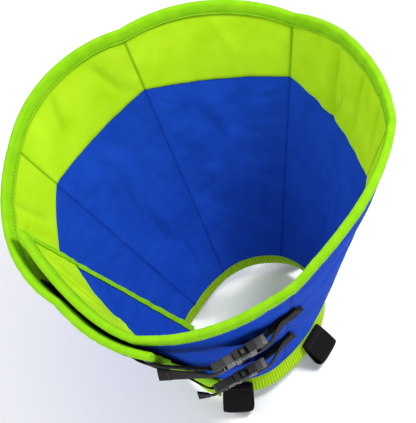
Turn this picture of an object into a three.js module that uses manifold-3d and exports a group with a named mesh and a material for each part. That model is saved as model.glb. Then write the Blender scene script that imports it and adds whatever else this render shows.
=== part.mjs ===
// Soft recovery cone: a padded fabric cone wrapped a little over one turn, closed at the throat
// with two buckled straps. Millimetres, +Z along the cone from the neck edge (z = 0) to the rim,
// throat towards -Y.
import * as THREE from 'three';
import { mergeVertices } from 'three/addons/utils/BufferGeometryUtils.js';
import Module from 'manifold-3d';

const wasm = await Module();
wasm.setup();

// Cone
const NECK_RADIUS = 66;      // mean radius of the neck edge
const SLANT = 250;           // mean length from neck edge to rim
const FLARE = 24;            // mean angle between wall and axis, degrees
const SHELL_THICK = 4.6;     // padded middle of a panel
const SEAM_THICK = 2.4;      // stitched flat at seams and edges
const GAP = 0.3;             // clearance between neighbouring pieces

// Lime trim
const FACING_THICK = 1.4;
const BINDING_THICK = 1.2;
const RIM_BINDING_WIDTH = 11;
const END_BINDING_WIDTH = 6;

// Knit cuff and collar loops
const CUFF_THICK = 4.2;
const CUFF_WIDTH = 18;
const CUFF_LEAN = 34;        // degrees outwards from the wall's own line
const LOOP_WIDTH = 28;
const LOOP_LENGTH = 33;
const LOOP_LEAN = 50;
const LOOP_BEND = 4.6;       // half height of the open end
const LOOP_THICK = 1.5;

// Closure
const WEB_WIDTH = 25;
const WEB_THICK = 1.6;
const STRIP_WIDTH = 22;
const STRIP_THICK = 2.2;
const BUCKLE_LENGTH = 52;
const BUCKLE_RAIL = 3.5;     // plastic beside the webbing
const BUCKLE_THICK = 9;
const BUCKLE_LIFT = 13;      // buckle's middle above the shell's outer skin
const BAR_THICK = 4;
const BAR_DEPTH = 6;
const UPPER_TAIL = 46;
const LOWER_TAIL = 14;

// Sections round the wrap, in shares of NECK_RADIUS, SLANT and FLARE. Rows alternate between an
// edge or seam and the middle of the panel after it; band is where the lime facing starts.
const SECTIONS = [
  { psi: -166.0, neck: 0.886, slant: 0.941, flare: 1.260, band: 0.715 },
  { psi: -139.5, neck: 1.038, slant: 0.809, flare: 1.049, band: 0.670 },
  { psi: -113.0, neck: 1.113, slant: 0.781, flare: 0.936, band: 0.690 },
  { psi: -83.5, neck: 1.040, slant: 0.835, flare: 0.790, band: 0.690 },
  { psi: -54.0, neck: 0.918, slant: 0.966, flare: 0.809, band: 0.720 },
  { psi: -21.0, neck: 0.879, slant: 1.109, flare: 0.797, band: 0.700 },
  { psi: 12.0, neck: 0.983, slant: 1.113, flare: 0.846, band: 0.710 },
  { psi: 42.0, neck: 1.099, slant: 1.108, flare: 0.846, band: 0.668 },
  { psi: 72.0, neck: 1.116, slant: 1.046, flare: 1.042, band: 0.760 },
  { psi: 98.0, neck: 1.034, slant: 1.096, flare: 1.050, band: 0.718 },
  { psi: 124.0, neck: 0.925, slant: 1.105, flare: 1.056, band: 0.772 },
  { psi: 147.0, neck: 0.875, slant: 1.106, flare: 1.235, band: 0.722 },
  { psi: 169.0, neck: 0.898, slant: 1.047, flare: 1.279, band: 0.768 },
  { psi: 193.0, neck: 1.045, slant: 0.904, flare: 1.348, band: 0.705 },
  { psi: 217.0, neck: 1.160, slant: 0.804, flare: 1.106, band: 0.740 },
  { psi: 236.0, neck: 1.200, slant: 0.755, flare: 1.054, band: 0.700 },
  { psi: 254.0, neck: 1.205, slant: 0.769, flare: 0.991, band: 0.720 },
];
const COLUMNS = 8;           // facets across a panel

// Collar loops: azimuth of each middle
const LOOPS = [
  { name: 'collar_loop_1', psi: -93.5 },
  { name: 'collar_loop_2', psi: -19 },
  { name: 'collar_loop_3', psi: 72 },
  { name: 'collar_loop_4', psi: 158 },
];

// Buckled straps: flap, level and seam are shares of the slant at the outer flap, the buckle and the
// front seam, mid is the buckle's azimuth, and slope, roll and yaw turn the buckle, in degrees, about
// its own z, x and y. curl is how far the free tail bends in, as a share of its length,
// and twist its turn about its own line at the tip, in degrees.
const STRAPS = [
  { name: 'upper', flap: 0.86, level: 0.744, seam: 0.70, mid: -77.8, slope: -16.6, roll: 6.1, yaw: 13.7, tail: UPPER_TAIL, curl: 0.52, twist: -20 },
  { name: 'lower', flap: 0.445, level: 0.394, seam: 0.37, mid: -82.4, slope: -11, roll: 9.2, yaw: 15.9, tail: LOWER_TAIL, curl: 0.45, twist: -12 },
];
const STRAP_START = 226;     // azimuth of the sewn end on the outer flap
const FRONT_SEAM = SECTIONS[4].psi;
const ANCHOR_PAST = 4;       // degrees that the anchor's sewn end runs past the front seam
const ANCHOR_LEAVES = 5;     // degrees before the seam where the anchor leaves the shell
const STRIP_FROM = 206;
const STRIP_TO = 249;

const rad = THREE.MathUtils.degToRad;
const START = SECTIONS[0].psi;
const END = SECTIONS[SECTIONS.length - 1].psi;

// Value of one table column at an azimuth: a parabola through each panel's edge, middle, edge.
function column(key, psi) {
  let i = 0;
  while (i + 4 < SECTIONS.length && psi > SECTIONS[i + 2].psi) i += 2;
  const [a, m, b] = [SECTIONS[i], SECTIONS[i + 1], SECTIONS[i + 2]];
  const x = psi;
  return a[key] * (x - m.psi) * (x - b.psi) / ((a.psi - m.psi) * (a.psi - b.psi))
    + m[key] * (x - a.psi) * (x - b.psi) / ((m.psi - a.psi) * (m.psi - b.psi))
    + b[key] * (x - a.psi) * (x - m.psi) / ((b.psi - a.psi) * (b.psi - m.psi));
}

// How far an azimuth is into its panel: 0 at a seam, 1 in the middle.
function crown(psi) {
  let i = 0;
  while (i + 4 < SECTIONS.length && psi > SECTIONS[i + 2].psi) i += 2;
  const u = THREE.MathUtils.clamp((psi - SECTIONS[i].psi) / (SECTIONS[i + 2].psi - SECTIONS[i].psi), 0, 1);
  return Math.pow(4 * u * (1 - u), 0.6);
}

const slantAt = (psi) => SLANT * column('slant', psi);

// A point at azimuth psi, distance d along the wall from the neck edge, h outwards from mid-wall.
function place(psi, d, h) {
  const f = rad(psi);
  const a = rad(FLARE * column('flare', psi));
  const r = NECK_RADIUS * column('neck', psi) + d * Math.sin(a) + h * Math.cos(a);
  return new THREE.Vector3(r * Math.cos(f), r * Math.sin(f), d * Math.cos(a) - h * Math.sin(a));
}

function upWall(psi) {
  return place(psi, 1, 0).sub(place(psi, 0, 0)).normalize();
}

// Half thickness of the shell: full in a panel's middle, flat at seams, band edge, neck and rim.
function half(psi, d) {
  const length = slantAt(psi);
  const t = THREE.MathUtils.clamp(d / length, 0, 1);
  const b = column('band', psi);
  const v = t < b ? t / b : (t - b) / (1 - b);
  const swell = Math.pow(Math.max(0, 4 * v * (1 - v)), 0.5) * crown(psi);
  return (SEAM_THICK + (SHELL_THICK - SEAM_THICK) * swell) / 2;
}

// Columns are azimuths as functions of d, so that a column can keep an even distance from an end.
const straight = (psi) => () => psi;

function hem(edge, inward, width) {
  return (d) => {
    const at = place(edge, d, 0);
    return edge + inward * THREE.MathUtils.radToDeg(width / Math.hypot(at.x, at.y));
  };
}

const middle = (col) => col(SLANT / 2);

function columnsBetween(from, to) {
  const list = [];
  for (let i = 0; i + 2 < SECTIONS.length; i += 2) {
    const a = SECTIONS[i].psi;
    const b = SECTIONS[i + 2].psi;
    for (let k = 0; k < COLUMNS; k++) list.push(a + (b - a) * k / COLUMNS);
  }
  list.push(END);
  return list.filter((psi) => psi >= from && psi <= to);
}

// One closed body from rings of equal length joined in order, with both ends capped. Each facet's
// diagonal rises with the profile's x, so that layers laid on each other keep an even gap.
function loft(rings, profile) {
  const n = rings[0].length;
  const flat = rings.flatMap((ring) => ring.flatMap((p) => [p.x, p.y, p.z]));
  const index = [];
  for (let i = 0; i + 1 < rings.length; i++) {
    for (let j = 0; j < n; j++) {
      const a = i * n + j;
      const b = i * n + (j + 1) % n;
      if (profile[(j + 1) % n].x >= profile[j].x) index.push(a, b, b + n, a, b + n, a + n);
      else index.push(a, b, a + n, b, b + n, a + n);
    }
  }
  const last = (rings.length - 1) * n;
  const turn = Math.sign(THREE.ShapeUtils.area(profile));
  for (const corners of THREE.ShapeUtils.triangulateShape(profile, [])) {
    const same = Math.sign(THREE.ShapeUtils.area(corners.map((i) => profile[i]))) === turn;
    const [a, b, c] = same ? corners : corners.slice().reverse();
    index.push(a, c, b);
    index.push(last + a, last + b, last + c);
  }
  const geometry = new THREE.BufferGeometry();
  geometry.setAttribute('position', new THREE.Float32BufferAttribute(flat, 3));
  geometry.setIndex(index);
  return outward(geometry);
}

function signedVolume(geometry) {
  const p = geometry.attributes.position;
  const at = (i) => new THREE.Vector3().fromBufferAttribute(p, i);
  let sum = 0;
  for (let i = 0; i < geometry.index.count; i += 3) {
    const [a, b, c] = [0, 1, 2].map((k) => at(geometry.index.getX(i + k)));
    sum += a.dot(b.cross(c));
  }
  return sum;
}

function outward(geometry) {
  if (signedVolume(geometry) < 0) {
    const index = geometry.index;
    for (let i = 0; i < index.count; i += 3) {
      const b = index.getX(i + 1);
      index.setX(i + 1, index.getX(i + 2));
      index.setX(i + 2, b);
    }
  }
  geometry.computeVertexNormals();
  return geometry;
}

// A band of section (d, h) points swept round the wrap; section(column) gives the ring's profile.
function sweep(columns, section) {
  const profile = section(columns[0]).map(([d, h]) => new THREE.Vector2(d, h));
  return loft(columns.map((col) => section(col).map(([d, h]) => place(col(d), d, h))), profile);
}

// Flat webbing along stations { at, across, up }: a rectangle of the given width and thickness.
function webbing(stations, width, thick) {
  const rings = stations.map(({ at, across, up }) => [[-1, -1], [1, -1], [1, 1], [-1, 1]].map(([s, q]) =>
    at.clone().addScaledVector(across, s * width / 2).addScaledVector(up, q * thick / 2)));
  return loft(rings, [[-1, -1], [1, -1], [1, 1], [-1, 1]].map(([x, y]) => new THREE.Vector2(x, y)));
}

// Stations with the webbing's own square-on directions worked out from its path.
function stationsAlong(points, acrosses) {
  return points.map((at, i) => {
    const before = points[Math.max(0, i - 1)];
    const after = points[Math.min(points.length - 1, i + 1)];
    const along = after.clone().sub(before).normalize();
    const across = acrosses[i].clone().addScaledVector(along, -acrosses[i].dot(along)).normalize();
    return { at, across, up: along.clone().cross(across).normalize() };
  });
}

// Height of a point above the shell's outer skin, near a known azimuth.
function above(point, near) {
  const raw = THREE.MathUtils.radToDeg(Math.atan2(point.y, point.x));
  const psi = raw + 360 * Math.round((near - raw) / 360);
  const a = rad(FLARE * column('flare', psi));
  const reach = Math.hypot(point.x, point.y) - NECK_RADIUS * column('neck', psi);
  const d = reach * Math.sin(a) + point.z * Math.cos(a);
  return reach * Math.cos(a) - point.z * Math.sin(a) - half(psi, d);
}

// Lifts a station of webbing until its whole width lies clear of the outer skin.
function raise(station, psi, more) {
  const out = place(psi, 0, 1).sub(place(psi, 0, 0)).normalize();
  const side = Math.sign(station.up.dot(out)) || 1;
  for (let pass = 0; pass < 3; pass++) {
    const lows = [-0.5, -0.25, 0, 0.25, 0.5].map((s) => above(station.at.clone()
      .addScaledVector(station.across, s * WEB_WIDTH).addScaledVector(station.up, -side * WEB_THICK / 2), psi));
    const short = GAP + more - Math.min(...lows);
    if (short > 0) station.at.addScaledVector(out, short);
  }
}

function material(color, roughness, metalness = 0) {
  return new THREE.MeshStandardMaterial({ color, roughness, metalness });
}

const BLUE = material(0x1f4fb4, 0.85);
const LIME = material(0xa8dc20, 0.8);
const KNIT = material(0x9cd018, 0.9);
const WEBBING = material(0x2b2a2c, 0.75);
const PLASTIC = material(0x1e1e20, 0.45);

const cone = new THREE.Group();

function add(name, geometry, look) {
  const mesh = new THREE.Mesh(geometry, look);
  mesh.name = name;
  cone.add(mesh);
}

const INNER_HEM = hem(START, 1, END_BINDING_WIDTH);
const OUTER_HEM = hem(END, -1, END_BINDING_WIDTH);
const BETWEEN = columnsBetween(START + 1, END - 1).map(straight);
const WRAP = [straight(START), INNER_HEM, ...BETWEEN, OUTER_HEM, straight(END)];

// Panels: padded, their skins pinched at the seams and where the facing is stitched on. They meet at
// the seams, with the gap between them.
const ROWS_BELOW = [0, 0.1, 0.3, 0.55, 0.82, 1];
const ROWS_ABOVE = [0.3, 0.7, 1];

function shellRows(col) {
  const psi = middle(col);
  const length = slantAt(psi);
  const edge = column('band', psi) * length;
  return [...ROWS_BELOW.map((s) => s * edge), ...ROWS_ABOVE.map((s) => edge + s * (length - edge))];
}

const skin = (col, d) => half(col(d), d);

function panelSection(col) {
  const rows = shellRows(col);
  return [...rows.map((d) => [d, skin(col, d)]), ...rows.slice().reverse().map((d) => [d, -skin(col, d)])];
}

const SEAMS = SECTIONS.filter((row, i) => i % 2 === 0).map((row) => row.psi);
for (let i = 0; i + 1 < SEAMS.length; i++) {
  const [from, to] = [SEAMS[i], SEAMS[i + 1]];
  const near = from === START ? [straight(START), INNER_HEM] : [hem(from, 1, GAP / 2)];
  const far = to === END ? [OUTER_HEM, straight(END)] : [hem(to, -1, GAP / 2)];
  const across = columnsBetween(from + 1, to - 1).map(straight);
  add(`panel_${i + 1}`, sweep([...near, ...across, ...far], panelSection), BLUE);
}

// Facing: lime band against the inner skin, from the band edge to the rim.
add('rim_facing', sweep(WRAP, (col) => {
  const rows = shellRows(col).slice(ROWS_BELOW.length - 1);
  const back = rows.map((d) => [d, -skin(col, d) - GAP]);
  const front = rows.slice().reverse().map((d) => [d, -skin(col, d) - GAP - FACING_THICK]);
  return [...back, ...front];
}), LIME);

// Rim binding: folded over shell and facing together.
const RIM_OUT = SEAM_THICK / 2 + GAP;
const RIM_IN = SEAM_THICK / 2 + GAP + FACING_THICK + GAP;

function bulged(col, d, side) {
  const extra = skin(col, d) - SEAM_THICK / 2;
  return side > 0 ? RIM_OUT + extra : -RIM_IN - extra;
}

function rimSection(col) {
  const length = slantAt(middle(col));
  const low = length - RIM_BINDING_WIDTH;
  const mid = length - RIM_BINDING_WIDTH * 0.45;
  const t = BINDING_THICK;
  return [
    [low, bulged(col, low, 1)], [low, bulged(col, low, 1) + t * 0.8],
    [mid, bulged(col, mid, 1) + t * 1.4], [length + GAP + t * 0.7, RIM_OUT * 0.9],
    [length + GAP + t, -RIM_IN * 0.4], [length + GAP + t * 0.6, -RIM_IN],
    [mid, bulged(col, mid, -1) - t * 1.4],
    [low, bulged(col, low, -1) - t * 0.8], [low, bulged(col, low, -1)],
    [mid, bulged(col, mid, -1)], [length + GAP, -RIM_IN], [length + GAP, RIM_OUT], [mid, bulged(col, mid, 1)],
  ];
}

const OVERRUN = GAP + BINDING_THICK;
add('rim_binding', sweep([hem(START, -1, OVERRUN), ...WRAP, hem(END, 1, OVERRUN)], rimSection), LIME);

// End bindings: folded over the two straight ends, from the neck edge to just below the rim binding.
function endBinding(edge, inward, deepCol) {
  const edgeCol = straight(edge);
  const topOf = (col) => slantAt(middle(col)) - RIM_BINDING_WIDTH - GAP;
  const rowsOf = (col) => [...shellRows(col).filter((d) => d < topOf(col) - 1), topOf(col)];
  const [edgeRows, deepRows] = [rowsOf(edgeCol), rowsOf(deepCol)];
  const past = (mm) => hem(edge, -inward, mm);
  const t = BINDING_THICK;
  const rings = edgeRows.map((d, k) => {
    const far = deepRows[k];
    const facing = k >= ROWS_BELOW.length - 1 ? FACING_THICK + GAP : 0;
    const out = skin(edgeCol, d) + GAP;
    const inn = -out - facing;
    const deepOut = skin(deepCol, far) + GAP;
    const deepIn = -deepOut - facing;
    return [
      [deepCol, far, deepOut], [deepCol, far, deepOut + t], [edgeCol, d, out + t], [past(GAP + t), d, (out + inn) / 2],
      [edgeCol, d, inn - t], [deepCol, far, deepIn - t], [deepCol, far, deepIn], [past(GAP), d, inn], [past(GAP), d, out],
    ].map(([col, dd, h]) => place(col(dd), dd, h));
  });
  const w = END_BINDING_WIDTH;
  const e = SEAM_THICK / 2 + GAP;
  const profile = [[w, e], [w, e + t], [0, e + t], [-GAP - t, 0], [0, -e - t], [w, -e - t], [w, -e], [-GAP, -e], [-GAP, e]];
  return loft(rings, profile.map(([x, y]) => new THREE.Vector2(inward * x, y)));
}

add('inner_end_binding', endBinding(START, 1, INNER_HEM), LIME);
add('outer_end_binding', endBinding(END, -1, OUTER_HEM), LIME);

// Cuff: doubled rib knit hanging from the neck edge, leaning outwards.
function leaning(lean, reach, off) {
  return [-reach * Math.cos(rad(lean)) + off * Math.sin(rad(lean)), reach * Math.sin(rad(lean)) + off * Math.cos(rad(lean))];
}

add('neck_cuff', sweep(WRAP, () => {
  const c = CUFF_THICK / 2;
  const start = GAP + c * Math.sin(rad(CUFF_LEAN)) / Math.cos(rad(CUFF_LEAN));
  return [
    leaning(CUFF_LEAN, start, c * 0.7), leaning(CUFF_LEAN, start + CUFF_WIDTH * 0.25, c),
    leaning(CUFF_LEAN, CUFF_WIDTH * 0.85, c), leaning(CUFF_LEAN, CUFF_WIDTH, c * 0.55),
    leaning(CUFF_LEAN, CUFF_WIDTH, -c * 0.55), leaning(CUFF_LEAN, CUFF_WIDTH * 0.85, -c),
    leaning(CUFF_LEAN, start + CUFF_WIDTH * 0.25, -c), leaning(CUFF_LEAN, start, -c * 0.7),
  ];
}), KNIT);

// Collar loops: folded webbing, both ends in the neck seam outside the cuff, open at the far end.
function collarLoop(psi) {
  const ring = place(psi, 0, 0);
  const span = THREE.MathUtils.radToDeg(LOOP_WIDTH / Math.hypot(ring.x, ring.y));
  const across = place(psi + span / 2, 0, 0).sub(place(psi - span / 2, 0, 0)).normalize();
  const seat = CUFF_THICK * 0.42 + GAP + LOOP_THICK / 2;
  const closed = LOOP_THICK / 2 + GAP / 2;
  const root = seat + closed;
  const line = [];
  const begin = CUFF_THICK * 0.45;
  const far = LOOP_LENGTH - LOOP_BEND - LOOP_THICK / 2;
  line.push([begin, -closed], [begin + (far - begin) * 0.5, -LOOP_BEND * 0.75], [far, -LOOP_BEND]);
  for (let k = 1; k < 5; k++) {
    const w = -Math.PI / 2 + Math.PI * k / 5;
    line.push([far + LOOP_BEND * Math.cos(w), LOOP_BEND * Math.sin(w)]);
  }
  line.push([far, LOOP_BEND], [begin + (far - begin) * 0.5, LOOP_BEND * 0.75], [begin, closed]);
  const offset = line.map(([x, y], i) => {
    const a = line[Math.max(0, i - 1)];
    const b = line[Math.min(line.length - 1, i + 1)];
    const n = Math.hypot(b[0] - a[0], b[1] - a[1]);
    return [-(b[1] - a[1]) / n, (b[0] - a[0]) / n];
  });
  const side = (sign) => line.map(([x, y], i) => [x + sign * offset[i][0] * LOOP_THICK / 2, y + sign * offset[i][1] * LOOP_THICK / 2]);
  const outline = [...side(1), ...side(-1).reverse()];
  const toWall = ([x, y]) => {
    const [d, h] = leaning(LOOP_LEAN, x, y);
    const [d0, h0] = leaning(CUFF_LEAN, 0, root);
    return [d + d0, h + h0];
  };
  const profile = outline.map(toWall);
  const rings = [-0.5, 0.5].map((s) => profile.map(([d, h]) =>
    place(psi, d, h).addScaledVector(across, s * LOOP_WIDTH)));
  return loft(rings, profile.map(([d, h]) => new THREE.Vector2(d, h)));
}

for (const { name, psi } of LOOPS) add(name, collarLoop(psi), WEBBING);

// Hook-and-loop strip: on the outer flap's facing, in the gap to the inner flap, just below the rim.
add('hook_loop_strip', sweep(columnsBetween(STRIP_FROM, STRIP_TO).map(straight), (col) => {
  const high = slantAt(middle(col)) - RIM_BINDING_WIDTH - GAP;
  const low = high - STRIP_WIDTH;
  const face = (d) => -skin(col, d) - GAP - FACING_THICK - GAP;
  const mid = (low + high) / 2;
  return [
    [low, face(low)], [mid, face(mid)], [high, face(high)],
    [high, face(high) - STRIP_THICK], [mid, face(mid) - STRIP_THICK], [low, face(low) - STRIP_THICK],
  ];
}), WEBBING);

// Buckle halves, in a frame with x from plug to socket, y up the wall and z outwards.
function block(x0, x1, y0, y1, z0, z1) {
  const geometry = new THREE.BoxGeometry(x1 - x0, y1 - y0, z1 - z0);
  geometry.translate((x0 + x1) / 2, (y0 + y1) / 2, (z0 + z1) / 2);
  return geometry;
}

function plate(points, thick) {
  const shape = new THREE.Shape(points.map(([x, y]) => new THREE.Vector2(x, y)));
  const geometry = new THREE.ExtrudeGeometry(shape, { depth: thick, bevelEnabled: false });
  geometry.translate(0, 0, -thick / 2);
  return geometry;
}

function solid(geometry) {
  let g = geometry.clone();
  g.deleteAttribute('normal');
  g.deleteAttribute('uv');
  g = mergeVertices(g, 1e-4);
  return new wasm.Manifold(new wasm.Mesh({
    numProp: 3,
    vertProperties: new Float32Array(g.attributes.position.array),
    triVerts: new Uint32Array(g.index.array),
  }));
}

function fromSolid(body) {
  const mesh = body.getMesh();
  const geometry = new THREE.BufferGeometry();
  geometry.setAttribute('position', new THREE.Float32BufferAttribute(Array.from(mesh.vertProperties), 3));
  geometry.setIndex(Array.from(mesh.triVerts));
  return geometry;
}

const mirrored = (points) => [...points, ...points.slice().reverse().map(([x, y]) => [x, -y])];

const END_X = BUCKLE_LENGTH / 2;
const SIDE_Y = WEB_WIDTH / 2 + BUCKLE_RAIL;
const SLOT_Y = WEB_WIDTH / 2 + GAP * 2;
const TURN = BAR_THICK / 2 + GAP + WEB_THICK / 2 + 0.1;   // webbing's mid line round a bar
const SLOT_END = END_X - BAR_DEPTH - TURN - WEB_THICK - 1;
const MOUTH = -BUCKLE_LENGTH * 0.11;
const POCKET_END = BUCKLE_LENGTH * 0.2;
const PRONG_THICK = BUCKLE_THICK * 0.5;
const POCKET_Y = SIDE_Y - 3.4;

function plugGeometry() {
  const base = plate(mirrored([
    [-END_X, SIDE_Y - 2], [-END_X + 2, SIDE_Y], [-END_X + 12, SIDE_Y], [MOUTH - 3, SIDE_Y - 1], [MOUTH - GAP, SIDE_Y - 2.5],
  ]), BUCKLE_THICK * 0.85);
  const slot = block(-END_X - 1, -SLOT_END, -SLOT_Y, SLOT_Y, -BUCKLE_THICK, BUCKLE_THICK);
  const bar = block(-END_X + 0.6, -END_X + 0.6 + BAR_DEPTH - 0.6, -SIDE_Y + 1.5, SIDE_Y - 1.5, -BAR_THICK / 2, BAR_THICK / 2);
  const prongs = plate([
    [MOUTH - 4, POCKET_Y - 0.4], [MOUTH + 6, POCKET_Y - 0.4], [MOUTH + 7.4, SIDE_Y - 0.6], [POCKET_END - 5.5, SIDE_Y - 1.2],
    [POCKET_END - 2.5, POCKET_Y - 1.2], [POCKET_END - 3, POCKET_Y - 4.5], [MOUTH + 4, POCKET_Y - 4.5], [MOUTH + 1, 3],
    [POCKET_END - 2, 2.4], [POCKET_END - 2, -2.4], [MOUTH + 1, -3], [MOUTH + 4, -POCKET_Y + 4.5], [POCKET_END - 3, -POCKET_Y + 4.5],
    [POCKET_END - 2.5, -POCKET_Y + 1.2], [POCKET_END - 5.5, -SIDE_Y + 1.2], [MOUTH + 7.4, -SIDE_Y + 0.6],
    [MOUTH + 6, -POCKET_Y + 0.4], [MOUTH - 4, -POCKET_Y + 0.4],
  ], PRONG_THICK);
  return fromSolid(solid(base).subtract(solid(slot)).add(solid(bar)).add(solid(prongs)));
}

function socketGeometry() {
  const body = plate(mirrored([
    [MOUTH, SIDE_Y - 1.5], [MOUTH + 1.5, SIDE_Y], [POCKET_END + 6, SIDE_Y], [END_X - 4, SIDE_Y - 1], [END_X, SIDE_Y - 2.4],
  ]), BUCKLE_THICK);
  const pocket = block(MOUTH - 1, POCKET_END, -POCKET_Y, POCKET_Y, -PRONG_THICK / 2 - GAP, PRONG_THICK / 2 + GAP);
  const slot = block(SLOT_END, END_X + 1, -SLOT_Y, SLOT_Y, -BUCKLE_THICK, BUCKLE_THICK);
  const bar = block(END_X - 0.6 - BAR_DEPTH + 0.6, END_X - 0.6, -SIDE_Y + 2.5, SIDE_Y - 2.5, -BAR_THICK / 2, BAR_THICK / 2);
  let piece = solid(body).subtract(solid(pocket)).subtract(solid(slot)).add(solid(bar));
  for (const s of [-1, 1]) {
    const near = s * (POCKET_Y - 0.5);
    const far = s * (SIDE_Y + 1);
    piece = piece.subtract(solid(block(MOUTH + 5.5, POCKET_END - 2, Math.min(near, far), Math.max(near, far),
      -BUCKLE_THICK, BUCKLE_THICK)));
  }
  return fromSolid(piece);
}

// Frame of a buckle at an azimuth and level, laid along the wrap.
function buckleFrame({ mid, level, slope, roll, yaw }) {
  const reach = THREE.MathUtils.radToDeg(BUCKLE_LENGTH * 0.4 / (NECK_RADIUS + level * SLANT * Math.sin(rad(FLARE))));
  const at = (psi) => place(psi, level * slantAt(psi), half(psi, level * slantAt(psi)) + BUCKLE_LIFT);
  const x = at(mid + reach).sub(at(mid - reach)).normalize();
  const up = upWall(mid);
  const y = up.clone().addScaledVector(x, -up.dot(x)).normalize();
  const z = x.clone().cross(y).normalize();
  const turn = new THREE.Matrix4().makeRotationZ(rad(slope))
    .multiply(new THREE.Matrix4().makeRotationX(rad(roll)))
    .multiply(new THREE.Matrix4().makeRotationY(rad(yaw)));
  return new THREE.Matrix4().makeBasis(x, y, z).setPosition(at(mid)).multiply(turn);
}

// Webbing folded round a bar at the frame's end: side -1 is the plug's bar, +1 the socket's.
function fold(frame, side) {
  const x = side * (END_X - 0.6 - BAR_DEPTH + 0.6 + 0.6);
  const points = [];
  for (let k = 0; k <= 6; k++) {
    const w = -Math.PI / 2 + Math.PI * k / 6;
    points.push(new THREE.Vector3(x - side * TURN * Math.cos(w), 0, TURN * Math.sin(w)).applyMatrix4(frame));
  }
  return points;
}

for (const strap of STRAPS) {
  const frame = buckleFrame(strap);
  const across = new THREE.Vector3().setFromMatrixColumn(frame, 1);
  const out = new THREE.Vector3().setFromMatrixColumn(frame, 2);
  const local = (x, z) => new THREE.Vector3(x, 0, z).applyMatrix4(frame);
  const seated = (psi, share, more) => {
    const d = share * slantAt(psi);
    return place(psi, d, half(psi, d) + GAP + more + WEB_THICK / 2);
  };

  add(`${strap.name}_buckle_plug`, plugGeometry().applyMatrix4(frame), PLASTIC);
  add(`${strap.name}_buckle_socket`, socketGeometry().applyMatrix4(frame), PLASTIC);

  // Strap: sewn to the outer flap, over its bound end, round the plug's bar and back as a free tail.
  const over = BINDING_THICK + GAP * 2;
  const flap = columnsBetween(STRAP_START, END);
  const points = flap.map((psi) => seated(psi, strap.flap, psi > END - 8 ? over : 0));
  const acrosses = flap.map(upWall);
  points.push(local(-END_X - 3.5, -TURN - 0.6), ...fold(frame, -1), local(-END_X - 3, TURN));
  for (let k = 0; k < 9; k++) acrosses.push(across);
  for (const share of [0.35, 0.7, 1]) {
    const bend = strap.tail * strap.curl * share;
    const twist = rad(strap.twist) * share;
    points.push(local(-END_X - 3 - Math.sqrt(1 - strap.curl ** 2) * strap.tail * share, TURN - bend));
    acrosses.push(across.clone().multiplyScalar(Math.cos(twist)).addScaledVector(out, Math.sin(twist)));
  }
  const sewn = stationsAlong(points, acrosses);
  flap.forEach((psi, i) => raise(sewn[i], psi, psi > END - 8 ? over : 0));
  add(`${strap.name}_strap`, webbing(sewn, WEB_WIDTH, WEB_THICK), WEBBING);

  // Anchor: doubled webbing round the socket's bar, both ends sewn down past the front seam.
  const tail = [FRONT_SEAM + ANCHOR_PAST, FRONT_SEAM, FRONT_SEAM - ANCHOR_LEAVES];
  const under = tail.map((psi) => seated(psi, strap.seam, 0));
  const top = tail.map((psi) => seated(psi, strap.seam, WEB_THICK + GAP)).reverse();
  const path = [...under, local(END_X + 3, -TURN), ...fold(frame, 1), local(END_X + 3, TURN), ...top];
  const sides = [...tail.map(upWall), ...Array(9).fill(across), ...tail.map(upWall).reverse()];
  const doubled = stationsAlong(path, sides);
  tail.forEach((psi, i) => {
    raise(doubled[i], psi, 0);
    raise(doubled[doubled.length - 1 - i], psi, WEB_THICK + GAP);
  });
  add(`${strap.name}_anchor`, webbing(doubled, WEB_WIDTH, WEB_THICK), WEBBING);
}

export default cone;
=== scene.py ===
"""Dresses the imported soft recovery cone: padded panels, lime trim, knit cuff, webbing and buckles."""

import logging
import math
from collections.abc import Callable, Sequence
from dataclasses import dataclass
from enum import Enum
from typing import NamedTuple

import bmesh
import bpy
import numpy as np
from mathutils import Matrix, Vector, noise


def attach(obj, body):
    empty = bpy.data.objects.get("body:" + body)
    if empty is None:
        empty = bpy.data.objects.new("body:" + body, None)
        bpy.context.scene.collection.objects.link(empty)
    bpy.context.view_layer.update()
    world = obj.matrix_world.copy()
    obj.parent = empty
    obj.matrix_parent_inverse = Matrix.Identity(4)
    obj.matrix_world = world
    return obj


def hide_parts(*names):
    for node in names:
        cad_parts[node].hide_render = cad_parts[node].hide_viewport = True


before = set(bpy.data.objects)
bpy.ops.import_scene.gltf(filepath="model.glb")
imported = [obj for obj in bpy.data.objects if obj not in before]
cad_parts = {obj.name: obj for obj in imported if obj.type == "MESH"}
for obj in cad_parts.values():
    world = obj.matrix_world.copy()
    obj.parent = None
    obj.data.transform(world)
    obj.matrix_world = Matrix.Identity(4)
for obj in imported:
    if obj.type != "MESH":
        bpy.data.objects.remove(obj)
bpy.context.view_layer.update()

log = logging.getLogger("recovery_cone")
MM = 0.001
NOISE_GAIN = 1.6  # the noise seldom passes 0.6 by itself
BODY = "root"
Array = np.ndarray
Lay = Callable[[Array, Array, Array], tuple[Array, ...]]
# Points along a row of stitches, and the directions out of the cloth there.
Row = tuple[Array, Array]
Colour = tuple[float, float, float, float]
Sockets = dict[str, bpy.types.NodeSocket]


class Side(Enum):
    """The two faces of the wall."""

    OUTER = 1
    INNER = -1


class Section(NamedTuple):
    """A row of the wrap's table: an azimuth in degrees, and shares of the mean sizes there."""

    psi: float
    neck: float
    slant: float
    flare: float
    band: float


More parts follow.
